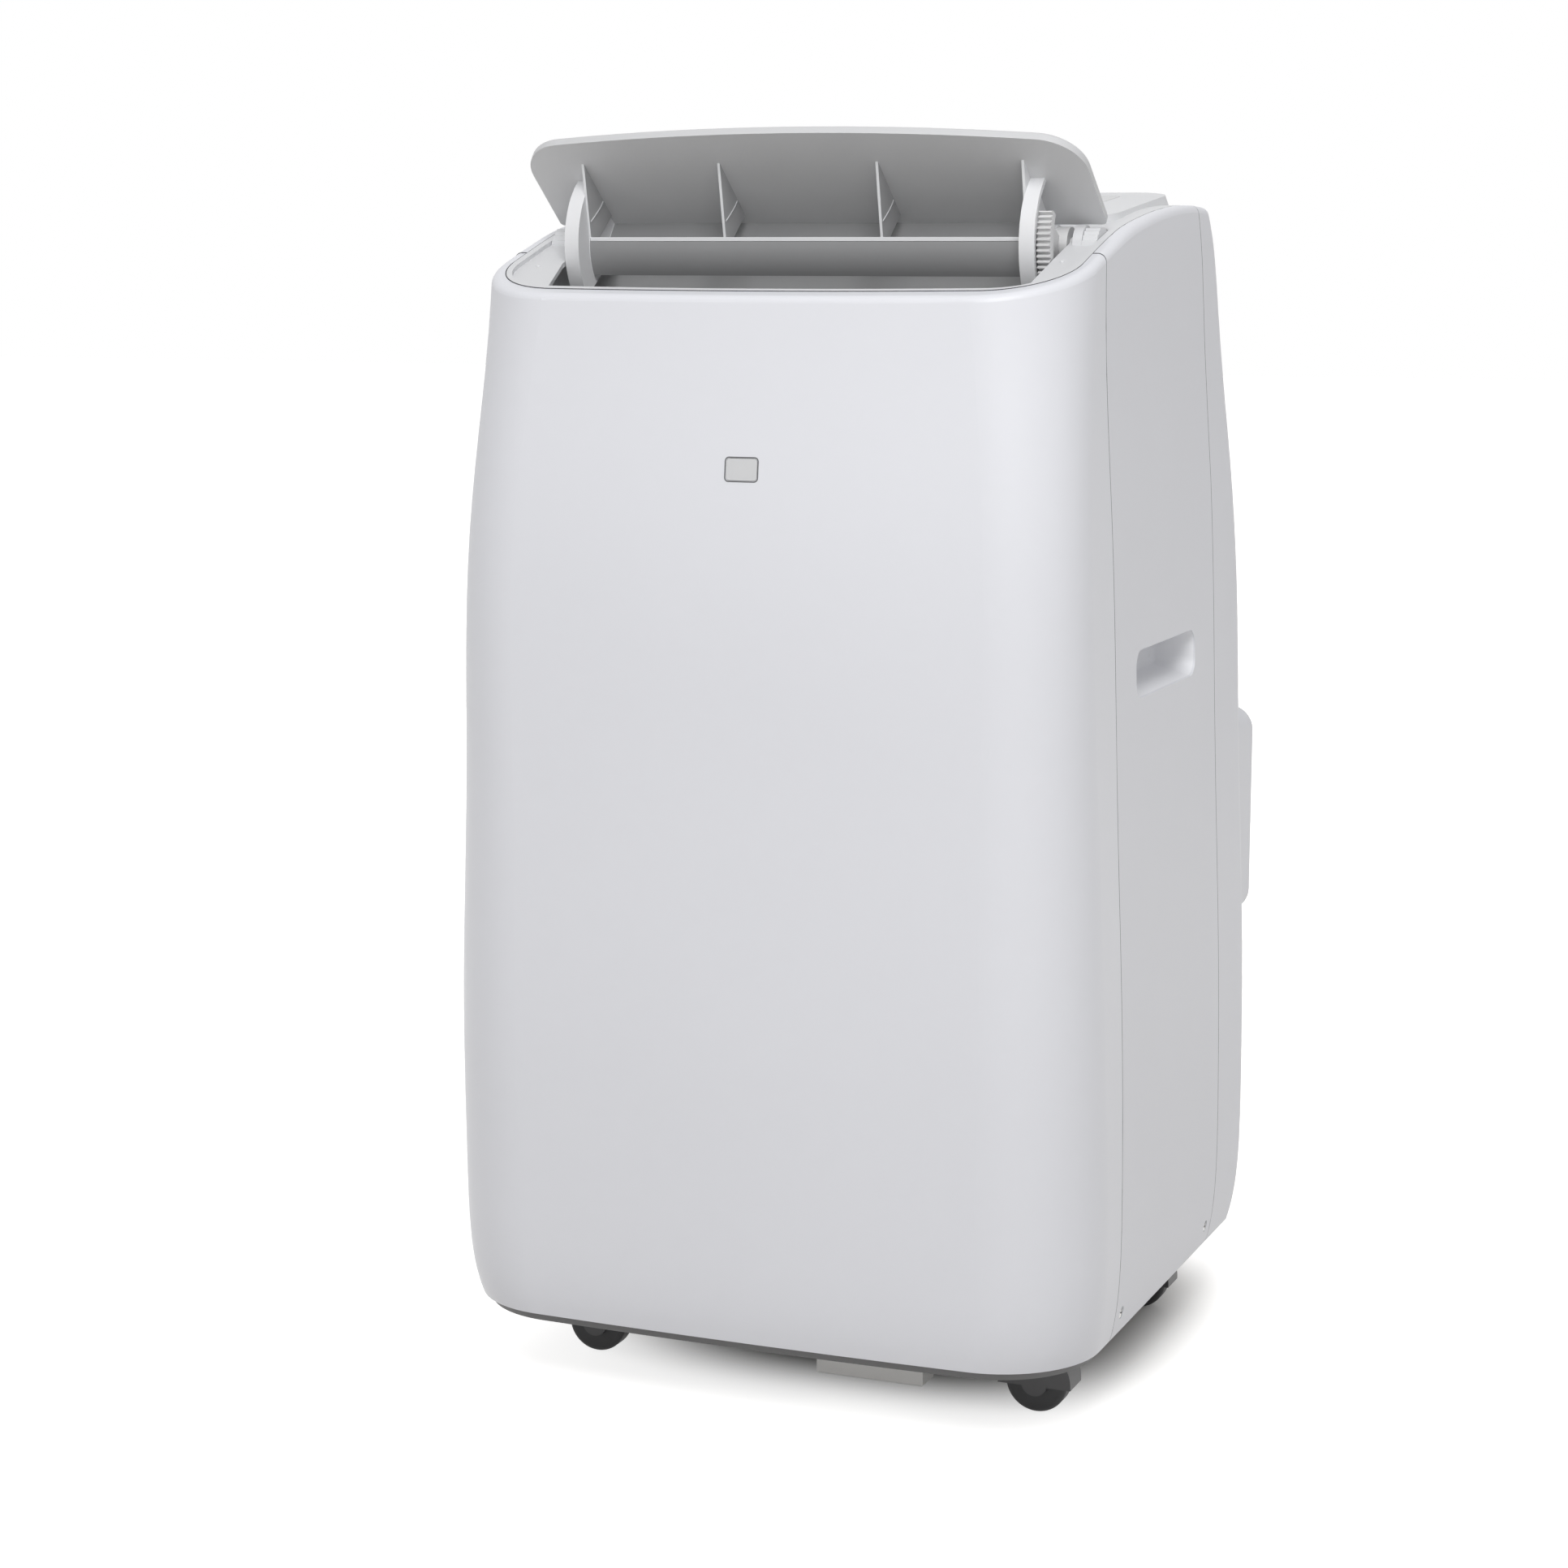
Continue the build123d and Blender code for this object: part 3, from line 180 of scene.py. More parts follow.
def addFloor(settings):
    half = settings["floorSize"] / 2
    mesh = bpy.data.meshes.new("studioFloor")
    corners = [(-half, -half, 0.0), (half, -half, 0.0), (half, half, 0.0), (-half, half, 0.0)]
    mesh.from_pydata(corners, [], [(0, 1, 2, 3)])
    floor = bpy.data.objects.new("studioFloor", mesh)
    scene.collection.objects.link(floor)
    material = bpy.data.materials.new("floorPaper")
    material.use_nodes = True
    tree = material.node_tree
    tree.nodes.clear()
    output = tree.nodes.new("ShaderNodeOutputMaterial")
    paper = addNode(tree, "ShaderNodeBsdfDiffuse", Color=settings["floorColour"])
    place = tree.nodes.new("ShaderNodeTexCoord")
    parts = tree.nodes.new("ShaderNodeSeparateXYZ")
    tree.links.new(place.outputs["Object"], parts.inputs[0])
    sides = []
    for axis, middle in zip("XY", settings["middle"]):
        away = calc(tree, "ABSOLUTE", calc(tree, "SUBTRACT", parts.outputs[axis], middle))
        sides.append(calc(tree, "POWER", away, settings["zonePower"]))
    # rounded square zones about the object
    reach = calc(tree, "POWER", calc(tree, "ADD", *sides), 1.0 / settings["zonePower"])
    near = addRange(tree, reach, 0.0, settings["floorLift"], settings["nearStart"], settings["nearEnd"],
                    smooth=True)
    far = addRange(tree, reach, 0.0, settings["farLift"], settings["farStart"], settings["farEnd"], smooth=True)
    lift = addNode(tree, "ShaderNodeEmission", Color=settings["white"])
    glow = calc(tree, "ADD", far, near)
    tree.links.new(calc(tree, "MULTIPLY", seenDirectly(tree), glow), lift.inputs["Strength"])
    add = tree.nodes.new("ShaderNodeAddShader")
    tree.links.new(paper.outputs[0], add.inputs[0])
    tree.links.new(lift.outputs[0], add.inputs[1])
    tree.links.new(add.outputs[0], output.inputs["Surface"])
    mesh.materials.append(material)


def addLamp(name, place, aim, width, height, watts, reflected):
    data = bpy.data.lights.new(name, "AREA")
    data.shape = "RECTANGLE"
    data.size = width
    data.size_y = height
    data.energy = watts
    lamp = bpy.data.objects.new(name, data)
    lamp.location = place
    lamp.visible_glossy = reflected
    lamp.rotation_euler = (Vector(aim) - Vector(place)).to_track_quat("-Z", "Y").to_euler()
    scene.collection.objects.link(lamp)


addWorld(stageSettings)
addFloor(stageSettings)
for lamp in lampSettings:
    addLamp(*lamp)
print("studio lit")


# moulded plastics: colour drift, grain bump and roughness drift, all from noise
plasticSettings = {
    "coatRoughness": 0.08,
    "driftScale": 6.0,
    "driftDetail": 3.0,
    "driftRoughness": 0.55,
    "driftStops": (0.3, 0.7),
    "grainDetail": 2.0,
    "grainRoughness": 0.5,
    "glossSpread": 0.15,
    "bumpStrength": 0.6,
}


def shade(colour, amount):
    return tuple(min(1.0, channel * amount) for channel in colour)


def driftColour(tree, vector, colour, drift):
    broad = addNode(tree, "ShaderNodeTexNoise", Scale=plasticSettings["driftScale"],
                    Detail=plasticSettings["driftDetail"], Roughness=plasticSettings["driftRoughness"])
    tree.links.new(vector, broad.inputs["Vector"])
    start, end = plasticSettings["driftStops"]
    stops = [(start, shade(colour, 1.0 - drift)), (end, shade(colour, 1.0 + drift))]
    return addRamp(tree, broad.outputs["Fac"], stops)


def newMaterial(name, metallic, coat, specular):
    material = bpy.data.materials.new(name)
    material.use_nodes = True
    tree = material.node_tree
    shader = tree.nodes["Principled BSDF"]
    shader.inputs["Metallic"].default_value = metallic
    shader.inputs["Coat Weight"].default_value = coat
    shader.inputs["Coat Roughness"].default_value = plasticSettings["coatRoughness"]
    shader.inputs["Specular IOR Level"].default_value = specular
    place = tree.nodes.new("ShaderNodeTexCoord")
    return material, tree, shader, place


def grainSurface(tree, shader, vector, roughness, grain, grainHeight):
    fine = addNode(tree, "ShaderNodeTexNoise", Scale=grain, Detail=plasticSettings["grainDetail"],
                   Roughness=plasticSettings["grainRoughness"])
    tree.links.new(vector, fine.inputs["Vector"])
    spread = plasticSettings["glossSpread"]
    gloss = addRange(tree, fine.outputs["Fac"], roughness * (1.0 - spread), roughness * (1.0 + spread))
    tree.links.new(gloss, shader.inputs["Roughness"])
    bump = addNode(tree, "ShaderNodeBump", Strength=plasticSettings["bumpStrength"], Distance=grainHeight)
    tree.links.new(fine.outputs["Fac"], bump.inputs["Height"])
    tree.links.new(bump.outputs["Normal"], shader.inputs["Normal"])
    return bump


def mouldedPlastic(name, colour, roughness, grain, grainHeight, drift, metallic, coat, specular):
    material, tree, shader, place = newMaterial(name, metallic, coat, specular)
    tree.links.new(driftColour(tree, place.outputs["Object"], colour, drift), shader.inputs["Base Color"])
    grainSurface(tree, shader, place.outputs["Object"], roughness, grain, grainHeight)
    return material


finishSettings = {
    # finish: colour, roughness, grain per metre, grain height in metres, drift, metallic, coat, specular
    "glossWhite": ((0.685, 0.692, 0.728), 0.38, 420.0, 0.000004, 0.006, 0.0, 0.0, 0.34),
    "satinWhite": ((0.685, 0.692, 0.728), 0.44, 1500.0, 0.00002, 0.008, 0.0, 0.0, 0.34),
    "coverGrey": ((0.64, 0.645, 0.66), 0.46, 1600.0, 0.00002, 0.008, 0.0, 0.0, 0.25),
    "gearNylon": ((0.62, 0.62, 0.625), 0.45, 1200.0, 0.00002, 0.02, 0.0, 0.0, 0.4),
    "warmWhite": ((0.72, 0.71, 0.69), 0.5, 900.0, 0.00003, 0.02, 0.0, 0.0, 0.35),
    "darkPlastic": ((0.085, 0.085, 0.088), 0.42, 1300.0, 0.00003, 0.06, 0.0, 0.0, 0.4),
    "wheelRubber": ((0.060, 0.060, 0.062), 0.55, 900.0, 0.00004, 0.08, 0.0, 0.0, 0.3),
    "lensGrey": ((0.55, 0.555, 0.565), 0.12, 700.0, 0.000002, 0.02, 0.0, 0.6, 0.5),
    "displayBlack": ((0.012, 0.013, 0.015), 0.10, 500.0, 0.000002, 0.05, 0.0, 0.6, 0.5),
    "panelGrey": ((0.44, 0.445, 0.455), 0.30, 1400.0, 0.00001, 0.01, 0.0, 0.2, 0.5),
    "buttonGrey": ((0.66, 0.665, 0.68), 0.36, 1400.0, 0.00001, 0.01, 0.0, 0.0, 0.45),
    "printGrey": ((0.10, 0.105, 0.115), 0.5, 1800.0, 0.000004, 0.04, 0.0, 0.0, 0.4),
    "segmentGrey": ((0.07, 0.075, 0.08), 0.35, 1800.0, 0.000004, 0.04, 0.0, 0.0, 0.4),
    "ledFrost": ((0.42, 0.55, 0.47), 0.22, 1500.0, 0.000004, 0.03, 0.0, 0.4, 0.5),
    # painted shade: colour of the strips that stand for the shadow inside the casing seams
    "seamShade": ((0.07, 0.072, 0.078), 0.7, 1200.0, 0.00003, 0.05, 0.0, 0.0, 0.2),
    # painted shade: colour of the ring that stands for the shadow gap round the receiver lens
    "outlineShade": ((0.13, 0.132, 0.138), 0.45, 1200.0, 0.00001, 0.05, 0.0, 0.0, 0.4),
    "boardGreen": ((0.03, 0.16, 0.07), 0.45, 700.0, 0.00002, 0.06, 0.0, 0.0, 0.4),
    "screwSteel": ((0.55, 0.55, 0.54), 0.30, 900.0, 0.00001, 0.05, 1.0, 0.0, 0.5),
    "copperTube": ((0.72, 0.36, 0.22), 0.32, 500.0, 0.00002, 0.08, 1.0, 0.0, 0.5),
    "blackEnamel": ((0.02, 0.02, 0.022), 0.28, 500.0, 0.00002, 0.06, 0.0, 0.3, 0.5),
    "ductFoam": ((0.16, 0.16, 0.165), 0.85, 800.0, 0.0001, 0.06, 0.0, 0.0, 0.2),
    "ductGrey": ((0.52, 0.523, 0.53), 0.7, 800.0, 0.00008, 0.05, 0.0, 0.0, 0.2),
    "fanGrey": ((0.16, 0.165, 0.17), 0.45, 1100.0, 0.00002, 0.05, 0.0, 0.0, 0.4),
    "motorSteel": ((0.42, 0.42, 0.42), 0.40, 800.0, 0.00002, 0.05, 1.0, 0.0, 0.5),
    "sealRubber": ((0.035, 0.034, 0.034), 0.7, 900.0, 0.00004, 0.08, 0.0, 0.0, 0.3),
    "filterDark": ((0.13, 0.132, 0.138), 0.55, 1500.0, 0.00003, 0.03, 0.0, 0.0, 0.35),
    "spigotWhite": ((0.66, 0.665, 0.67), 0.45, 1500.0, 0.00003, 0.02, 0.0, 0.0, 0.35),
}
finishes = {name: mouldedPlastic(name, *values) for name, values in finishSettings.items()}


# coil fins: thin plates side by side, as a wave across the coil
finSettings = {
    "colour": (0.66, 0.67, 0.68),
    "gapShade": 0.25,
    "stops": (0.15, 0.6),
    "pitch": 0.0018,
    "groove": 0.0004,
    "grooveStrength": 0.9,
    "roughness": 0.36,
    "grain": 700.0,
    "grainHeight": 0.00002,
}


def finStack(settings):
    material, tree, shader, place = newMaterial("finAluminium", metallic=1.0, coat=0.0, specular=0.5)
    # a band of this texture repeats every pi / 10 / scale metres
    wave = addNode(tree, "ShaderNodeTexWave", Scale=math.pi / 10.0 / settings["pitch"])
    wave.bands_direction = "X"
    tree.links.new(place.outputs["Object"], wave.inputs["Vector"])
    tones = (shade(settings["colour"], settings["gapShade"]), settings["colour"])
    fins = addRamp(tree, wave.outputs["Fac"], list(zip(settings["stops"], tones)))
    tree.links.new(fins, shader.inputs["Base Color"])
    bump = grainSurface(tree, shader, place.outputs["Object"], settings["roughness"], settings["grain"],
                        settings["grainHeight"])
    plates = addNode(tree, "ShaderNodeBump", Strength=settings["grooveStrength"], Distance=settings["groove"])
    tree.links.new(wave.outputs["Fac"], plates.inputs["Height"])
    tree.links.new(bump.outputs["Normal"], plates.inputs["Normal"])
    tree.links.new(plates.outputs["Normal"], shader.inputs["Normal"])
    return material


finishes["finAluminium"] = finStack(finSettings)


# outlet lid and louver frame: painted shade, pale plastic outside with greyer copies on the faces that sit in
# shade: the lid's rim and underside, the vane face, the rib faces and the skirt
louverSettings = {
    "pivot": (-0.077, 0.684),
    "raise": 38.0,
    "pale": (0.71, 0.715, 0.73),
    # painted shade: the lid's underside and rim colours below stand for the shade on those faces
    "lidUnderShade": (0.68, 0.685, 0.695),
    "lidRimShade": (0.55, 0.554, 0.565),
    # painted shade: the vane face, skirt and rib faces inside the frame are darker copies of the pale plastic
    "vaneFaceShade": (0.27, 0.272, 0.277),
    "skirtShade": (0.27, 0.272, 0.277),
    "ribFaceShade": (0.40, 0.403, 0.41),
    "innerHalf": 0.1362,
    "vaneReach": (0.0283, 0.0316),
    "vaneTopAngle": -30.7,
    "skirtFront": 0.0049,
    "underShadeFacing": (0.90, 0.97),
    "litTopFacing": (0.75, 0.95),
    "ribFacing": 0.7,
    "paleDrift": 0.008,
    "greyDrift": 0.03,
    "specular": 0.4,
    "roughness": 0.48,
    "grain": 1500.0,
    "grainHeight": 0.00002,
}


def levelPlace(tree, vector, settings):
    parts = tree.nodes.new("ShaderNodeSeparateXYZ")
    tree.links.new(vector, parts.inputs[0])
    pivotY, pivotZ = settings["pivot"]
    ahead = calc(tree, "SUBTRACT", pivotY, parts.outputs["Y"])
    above = calc(tree, "SUBTRACT", parts.outputs["Z"], pivotZ)
    turn = math.radians(settings["raise"])
    c, s = math.cos(turn), math.sin(turn)
    forward = calc(tree, "ADD", calc(tree, "MULTIPLY", ahead, c), calc(tree, "MULTIPLY", above, s))
    up = calc(tree, "SUBTRACT", calc(tree, "MULTIPLY", above, c), calc(tree, "MULTIPLY", ahead, s))
    return calc(tree, "ABSOLUTE", parts.outputs["X"]), forward, up


def facingShare(tree, normal, direction, span):
    dot = tree.nodes.new("ShaderNodeVectorMath")
    dot.operation = "DOT_PRODUCT"
    dot.inputs[1].default_value = direction
    tree.links.new(normal, dot.inputs[0])
    return addRange(tree, dot.outputs["Value"], 0.0, 1.0, *span)


def lidMaterial(settings):
    material, tree, shader, place = newMaterial("lidPlasticShaded", metallic=0.0, coat=0.0,
                                                specular=settings["specular"])
    turn = math.radians(settings["raise"])
    upward = Vector((0.0, math.sin(turn), math.cos(turn)))
    # painted shade: faces turned down get the underside shade colour, faces not turned up get the rim shade
    # colour
    underShadeShare = facingShare(tree, place.outputs["Normal"], -upward, settings["underShadeFacing"])
    litTopShare = facingShare(tree, place.outputs["Normal"], upward, settings["litTopFacing"])
    pale = driftColour(tree, place.outputs["Object"], settings["pale"], settings["paleDrift"])
    rim = driftColour(tree, place.outputs["Object"], settings["lidRimShade"], settings["paleDrift"])
    grey = driftColour(tree, place.outputs["Object"], settings["lidUnderShade"], settings["greyDrift"])
    outside = mixColour(tree, litTopShare, rim, pale)
    tree.links.new(mixColour(tree, underShadeShare, outside, grey), shader.inputs["Base Color"])
    grainSurface(tree, shader, place.outputs["Object"], settings["roughness"], settings["grain"],
                 settings["grainHeight"])
    return material


def louverFrameMaterial(settings):
    material, tree, shader, place = newMaterial("louverPlasticShaded", metallic=0.0, coat=0.0,
                                                specular=settings["specular"])
    across, forward, up = levelPlace(tree, place.outputs["Object"], settings)
    inner = calc(tree, "LESS_THAN", across, settings["innerHalf"])
    normal = tree.nodes.new("ShaderNodeSeparateXYZ")
    tree.links.new(place.outputs["Normal"], normal.inputs[0])
    # painted shade: masks for the vane face, rib faces and skirt, which get darker colours standing for the
    # shade they sit in
    ribShadeFacing = calc(tree, "GREATER_THAN", calc(tree, "ABSOLUTE", normal.outputs["X"]), settings["ribFacing"])
    squares = calc(tree, "ADD", calc(tree, "MULTIPLY", forward, forward), calc(tree, "MULTIPLY", up, up))
    reach = calc(tree, "SQRT", squares)
    ring = between(tree, reach, settings["vaneReach"])
    angle = calc(tree, "ARCTAN2", up, forward)
    below = calc(tree, "LESS_THAN", angle, math.radians(settings["vaneTopAngle"]))
    vaneShadeMask = calc(tree, "MULTIPLY", ring, below)
    vane = calc(tree, "MULTIPLY", vaneShadeMask, inner)
    rib = calc(tree, "MULTIPLY", ribShadeFacing, inner)
    skirtShadeMask = calc(tree, "MULTIPLY", calc(tree, "LESS_THAN", forward, settings["skirtFront"]), inner)
    pale = driftColour(tree, place.outputs["Object"], settings["pale"], settings["paleDrift"])
    face = driftColour(tree, place.outputs["Object"], settings["vaneFaceShade"], settings["greyDrift"])
    deep = driftColour(tree, place.outputs["Object"], settings["skirtShade"], settings["greyDrift"])
    ribShadeColour = driftColour(tree, place.outputs["Object"], settings["ribFaceShade"], settings["greyDrift"])
    colour = mixColour(tree, skirtShadeMask, mixColour(tree, rib, mixColour(tree, vane, pale, face), ribShadeColour), deep)
    tree.links.new(colour, shader.inputs["Base Color"])
    grainSurface(tree, shader, place.outputs["Object"], settings["roughness"], settings["grain"],
                 settings["grainHeight"])
    return material


finishes["lidPlasticShaded"] = lidMaterial(louverSettings)
finishes["louverPlasticShaded"] = louverFrameMaterial(louverSettings)


# side panels: painted light, the inside of each grip is painted paler than the panel, standing for light that
# fills the recess
gripLightSettings = {
    "skin": 0.1928,
    "ySpan": (-0.075, 0.062),
    "zSpan": (0.418, 0.458),
    "pale": (0.80, 0.807, 0.835),
}


def gripLitSideMaterial(settings, finish):
    colour, roughness, grain, grainHeight, drift, metallic, coat, specular = finish
    material, tree, shader, place = newMaterial("sideSatinGripLight", metallic, coat, specular)
    parts = tree.nodes.new("ShaderNodeSeparateXYZ")
    tree.links.new(place.outputs["Object"], parts.inputs[0])
    deep = calc(tree, "LESS_THAN", calc(tree, "ABSOLUTE", parts.outputs["X"]), settings["skin"])
    window = calc(tree, "MULTIPLY", between(tree, parts.outputs["Y"], settings["ySpan"]),
                  between(tree, parts.outputs["Z"], settings["zSpan"]))
    outer = driftColour(tree, place.outputs["Object"], colour, drift)
    # painted light: the grip recess gets this paler copy of the white
    inner = driftColour(tree, place.outputs["Object"], settings["pale"], drift)
    inside = calc(tree, "MULTIPLY", deep, window)
    tree.links.new(mixColour(tree, inside, outer, inner), shader.inputs["Base Color"])
    grainSurface(tree, shader, place.outputs["Object"], roughness, grain, grainHeight)
    return material


finishes["sideSatinGripLight"] = gripLitSideMaterial(gripLightSettings, finishSettings["satinWhite"])


# base pan: painted shade makes the pan dark, standing for the shadow under the casing's edge; painted light
# makes the sump block below it whiter than the casing
panSettings = {
    "pan": (0.16, 0.16, 0.162),
    "panDrift": 0.04,
    "block": (0.92, 0.915, 0.90),
    "blockDrift": 0.02,
    "edge": 0.0439,
    "roughness": 0.55,
    "grain": 900.0,
    "grainHeight": 0.00003,
    "specular": 0.3,
}


def panMaterial(settings):
    material, tree, shader, place = newMaterial("panShadeAndLight", metallic=0.0, coat=0.0,
                                                specular=settings["specular"])
    parts = tree.nodes.new("ShaderNodeSeparateXYZ")
    tree.links.new(place.outputs["Object"], parts.inputs[0])
    below = calc(tree, "LESS_THAN", parts.outputs["Z"], settings["edge"])
    pan = driftColour(tree, place.outputs["Object"], settings["pan"], settings["panDrift"])
    block = driftColour(tree, place.outputs["Object"], settings["block"], settings["blockDrift"])
    # painted shade on the pan and painted light on the sump block
    tree.links.new(mixColour(tree, below, pan, block), shader.inputs["Base Color"])
    grainSurface(tree, shader, place.outputs["Object"], settings["roughness"], settings["grain"],
                 settings["grainHeight"])
    return material


finishes["panShadeAndLight"] = panMaterial(panSettings)

nodeFinish = {
    "glossWhite": ["front_panel"],
    "satinWhite": ["rear_panel", "exhaust_outlet", "upper_grille", "lower_grille"],
    "sideSatinGripLight": ["side_panel_left", "side_panel_right"],
    "coverGrey": ["top_cover"],
    "lidPlasticShaded": ["louver_lid"],
    "louverPlasticShaded": ["louver_frame"],
    "gearNylon": ["louver_sector", "louver_pinion", "louver_pins"],
    "warmWhite": ["partition"],
    "panShadeAndLight": ["base_pan"],
    "darkPlastic": ["caster_fork_*", "caster_axle_*"],
    "wheelRubber": ["caster_wheel_*"],
    "lensGrey": ["receiver_window"],
    "displayBlack": ["display_window"],
    "panelGrey": ["control_panel"],
    "buttonGrey": ["button_*"],
    "boardGreen": ["control_board", "receiver_board"],
    "screwSteel": ["case_screws", "evaporator_fan_shaft", "condenser_fan_shaft"],
    "copperTube": ["suction_line", "liquid_line", "discharge_line"],
    "finAluminium": ["evaporator", "condenser"],
    "blackEnamel": ["compressor", "accumulator"],
    "ductGrey": ["evaporator_scroll"],
    "ductFoam": ["condenser_scroll"],
    "fanGrey": ["evaporator_fan_wheel", "condenser_fan_wheel"],
    "motorSteel": ["evaporator_fan_motor", "condenser_fan_motor", "louver_motor"],
    "sealRubber": ["compressor_grommets", "drain_plug", "cord_gland"],
    "filterDark": ["filter_screen"],
    "spigotWhite": ["drain_spigot"],
}


def nodesNamed(pattern):
    if pattern.endswith("*"):
        return [nodes[name] for name in sorted(nodes) if name.startswith(pattern[:-1])]
    return [nodes[pattern]]


def dressNode(node, material):
    node.data.materials.clear()
    node.data.materials.append(material)


for finish, patterns in nodeFinish.items():
    for pattern in patterns:
        for node in nodesNamed(pattern):
            dressNode(node, finishes[finish])
print("finishes on", len(nodes), "nodes")


# mesh helpers for the small pieces
sharpAngle = math.radians(35.0)
down = Vector((0.0, 0.0, -1.0))


def addPiece(name, bm, finish, body, smooth=True):
    bmesh.ops.recalc_face_normals(bm, faces=bm.faces)
    mesh = bpy.data.meshes.new(name)
    bm.to_mesh(mesh)
    bm.free()
    mesh.materials.append(finishes[finish])
    if smooth:
        mesh.shade_smooth()
        mesh.set_sharp_from_angle(angle=sharpAngle)
    piece = bpy.data.objects.new(name, mesh)
    scene.collection.objects.link(piece)
    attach(piece, body)
    return piece


def surfaceOf(name):
    mesh = nodes[name].data
    points = [vertex.co.copy() for vertex in mesh.vertices]
    faces = [list(polygon.vertices) for polygon in mesh.polygons]
    return BVHTree.FromPolygons(points, faces)


def addStrip(bm, path, widths, depths, width, top, bottom, closed=False):
    # a rectangular bead along path: widths and depths are unit directions at each point
    rings = []
    for point, across, inward in zip(path, widths, depths):
        side = across * (width / 2)
        corners = (point - side + inward * top, point + side + inward * top,
                   point + side + inward * bottom, point - side + inward * bottom)
        rings.append([bm.verts.new(corner) for corner in corners])
    pairs = list(zip(rings, rings[1:]))
    if closed:
        pairs.append((rings[-1], rings[0]))
    for one, two in pairs:
        for k in range(4):
            bm.faces.new((one[k], one[(k + 1) % 4], two[(k + 1) % 4], two[k]))
    if not closed:
        bm.faces.new(rings[0])
        bm.faces.new(rings[-1])


def addLathe(bm, profile, place, segments):
    # profile of (radius, height) pairs from the axis outwards, closed on the axis at its start
    rings = []
    for radius, height in profile:
        if radius == 0.0:
            rings.append([bm.verts.new(place @ Vector((0.0, 0.0, height)))])
            continue
        ring = []
        for k in range(segments):
            turn = 2.0 * math.pi * k / segments
            spot = Vector((radius * math.cos(turn), radius * math.sin(turn), height))
            ring.append(bm.verts.new(place @ spot))
        rings.append(ring)
    for one, two in zip(rings, rings[1:]):
        for k in range(segments):
            n = (k + 1) % segments
            if len(one) == 1:
                bm.faces.new((one[0], two[k], two[n]))
            else:
                bm.faces.new((one[k], two[k], two[n], one[n]))
    bm.faces.new(rings[-1])


def bevelLong(bm, length, size):
    # round the edges that run across the part
    edges = [edge for edge in bm.edges if abs(edge.verts[0].co.x - edge.verts[1].co.x) > length]
    bmesh.ops.bevel(bm, geom=edges, offset=size, segments=2, affect="EDGES", profile=0.5)


def domeProfile(radius, rise, foot, step=15):
    # a quarter round from the top to the rim, and a short wall sunk below it
    turns = [math.radians(angle) for angle in range(0, 91, step)]
    return [(radius * math.sin(turn), rise * math.cos(turn)) for turn in turns] + [(radius, -foot)]


# painted shade: dark strips sunk in the seams between the casing panels stand for the shadow inside each gap
seamSettings = {
    "frontSeam": [(-0.1117, 0.0), (-0.1117, 0.74)],
    "rearSeam": [(0.1022, 0.0), (0.1022, 0.540), (0.0992, 0.600), (0.0955, 0.642), (0.0910, 0.670),
                 (0.0830, 0.705), (0.0780, 0.725)],
    "lowest": 0.0500,
    "highest": 0.73,
    "step": 0.006,
    "fineStep": 0.001,
    "fineAbove": 0.64,
    "castSide": 0.3,
    "castHeight": 0.8,
    "roofLevel": 0.6,
    "width": 0.0009,
    "recess": 0.00004,
    "depth": 0.0018,
    "inside": 0.0012,
    "coverHalf": 0.176,
    "coverFront": -0.1785,
    "coverRear": 0.119,
    "coverFrontCorner": 0.048,
    "coverRearCorner": 0.026,
    "coverBow": 0.005,
    "coverGap": 0.0006,
    "coverDrop": 0.0012,
    "wallStart": 0.004,
    "wallReach": 0.006,
    "bowSteps": 24,
    "frontCornerSteps": 16,
    "sideSteps": 29,
    "rearCornerSteps": 12,
    "backSteps": 40,
}


def seamPlace(line, height):
    for (y0, z0), (y1, z1) in zip(line, line[1:]):
        if z0 <= height <= z1:
            return y0 + (y1 - y0) * (height - z0) / (z1 - z0)
    return line[-1][0]


def sideSeam(settings, line, side, surface, shift):
    path, inwards = [], []
    height = settings["lowest"]
    while height < settings["highest"]:
        y = seamPlace(line, height)
        start = Vector((side * settings["castSide"], y + shift, height))
        hit, normal = surface.ray_cast(start, Vector((-side, 0.0, 0.0)))[:2]
        if hit is None or abs(hit.x) < settings["coverHalf"]:
            break
        path.append(Vector((hit.x, y, height)))
        inwards.append(-normal)
        height += settings["step"] if height < settings["fineAbove"] else settings["fineStep"]
    y = seamPlace(line, height)
    across = abs(path[-1].x)
    while across > settings["coverHalf"] + settings["coverGap"]:
        across -= settings["fineStep"]
        hit, normal = surface.ray_cast(Vector((side * across, y + shift, settings["castHeight"])), down)[:2]
        if hit is None or hit.z < settings["roofLevel"]:
            break
        path.append(Vector((side * across, y, hit.z)))
        inwards.append(-normal)
    return path, inwards


def addSideSeams(settings):
    for side, word in ((-1, "left"), (1, "right")):
        surface = surfaceOf("side_panel_" + word)
        bm = bmesh.new()
        # each line is felt for on the side panel, just inside its own edge
        for line, shift in (("frontSeam", settings["inside"]), ("rearSeam", -settings["inside"])):
            path, inwards = sideSeam(settings, settings[line], side, surface, shift)
            widths = [Vector((0.0, 1.0, 0.0))] * len(path)
            addStrip(bm, path, widths, inwards, settings["width"], settings["recess"], settings["depth"])
        addPiece("seamShadowStrips_" + word, bm, "seamShade", "casing", smooth=False)


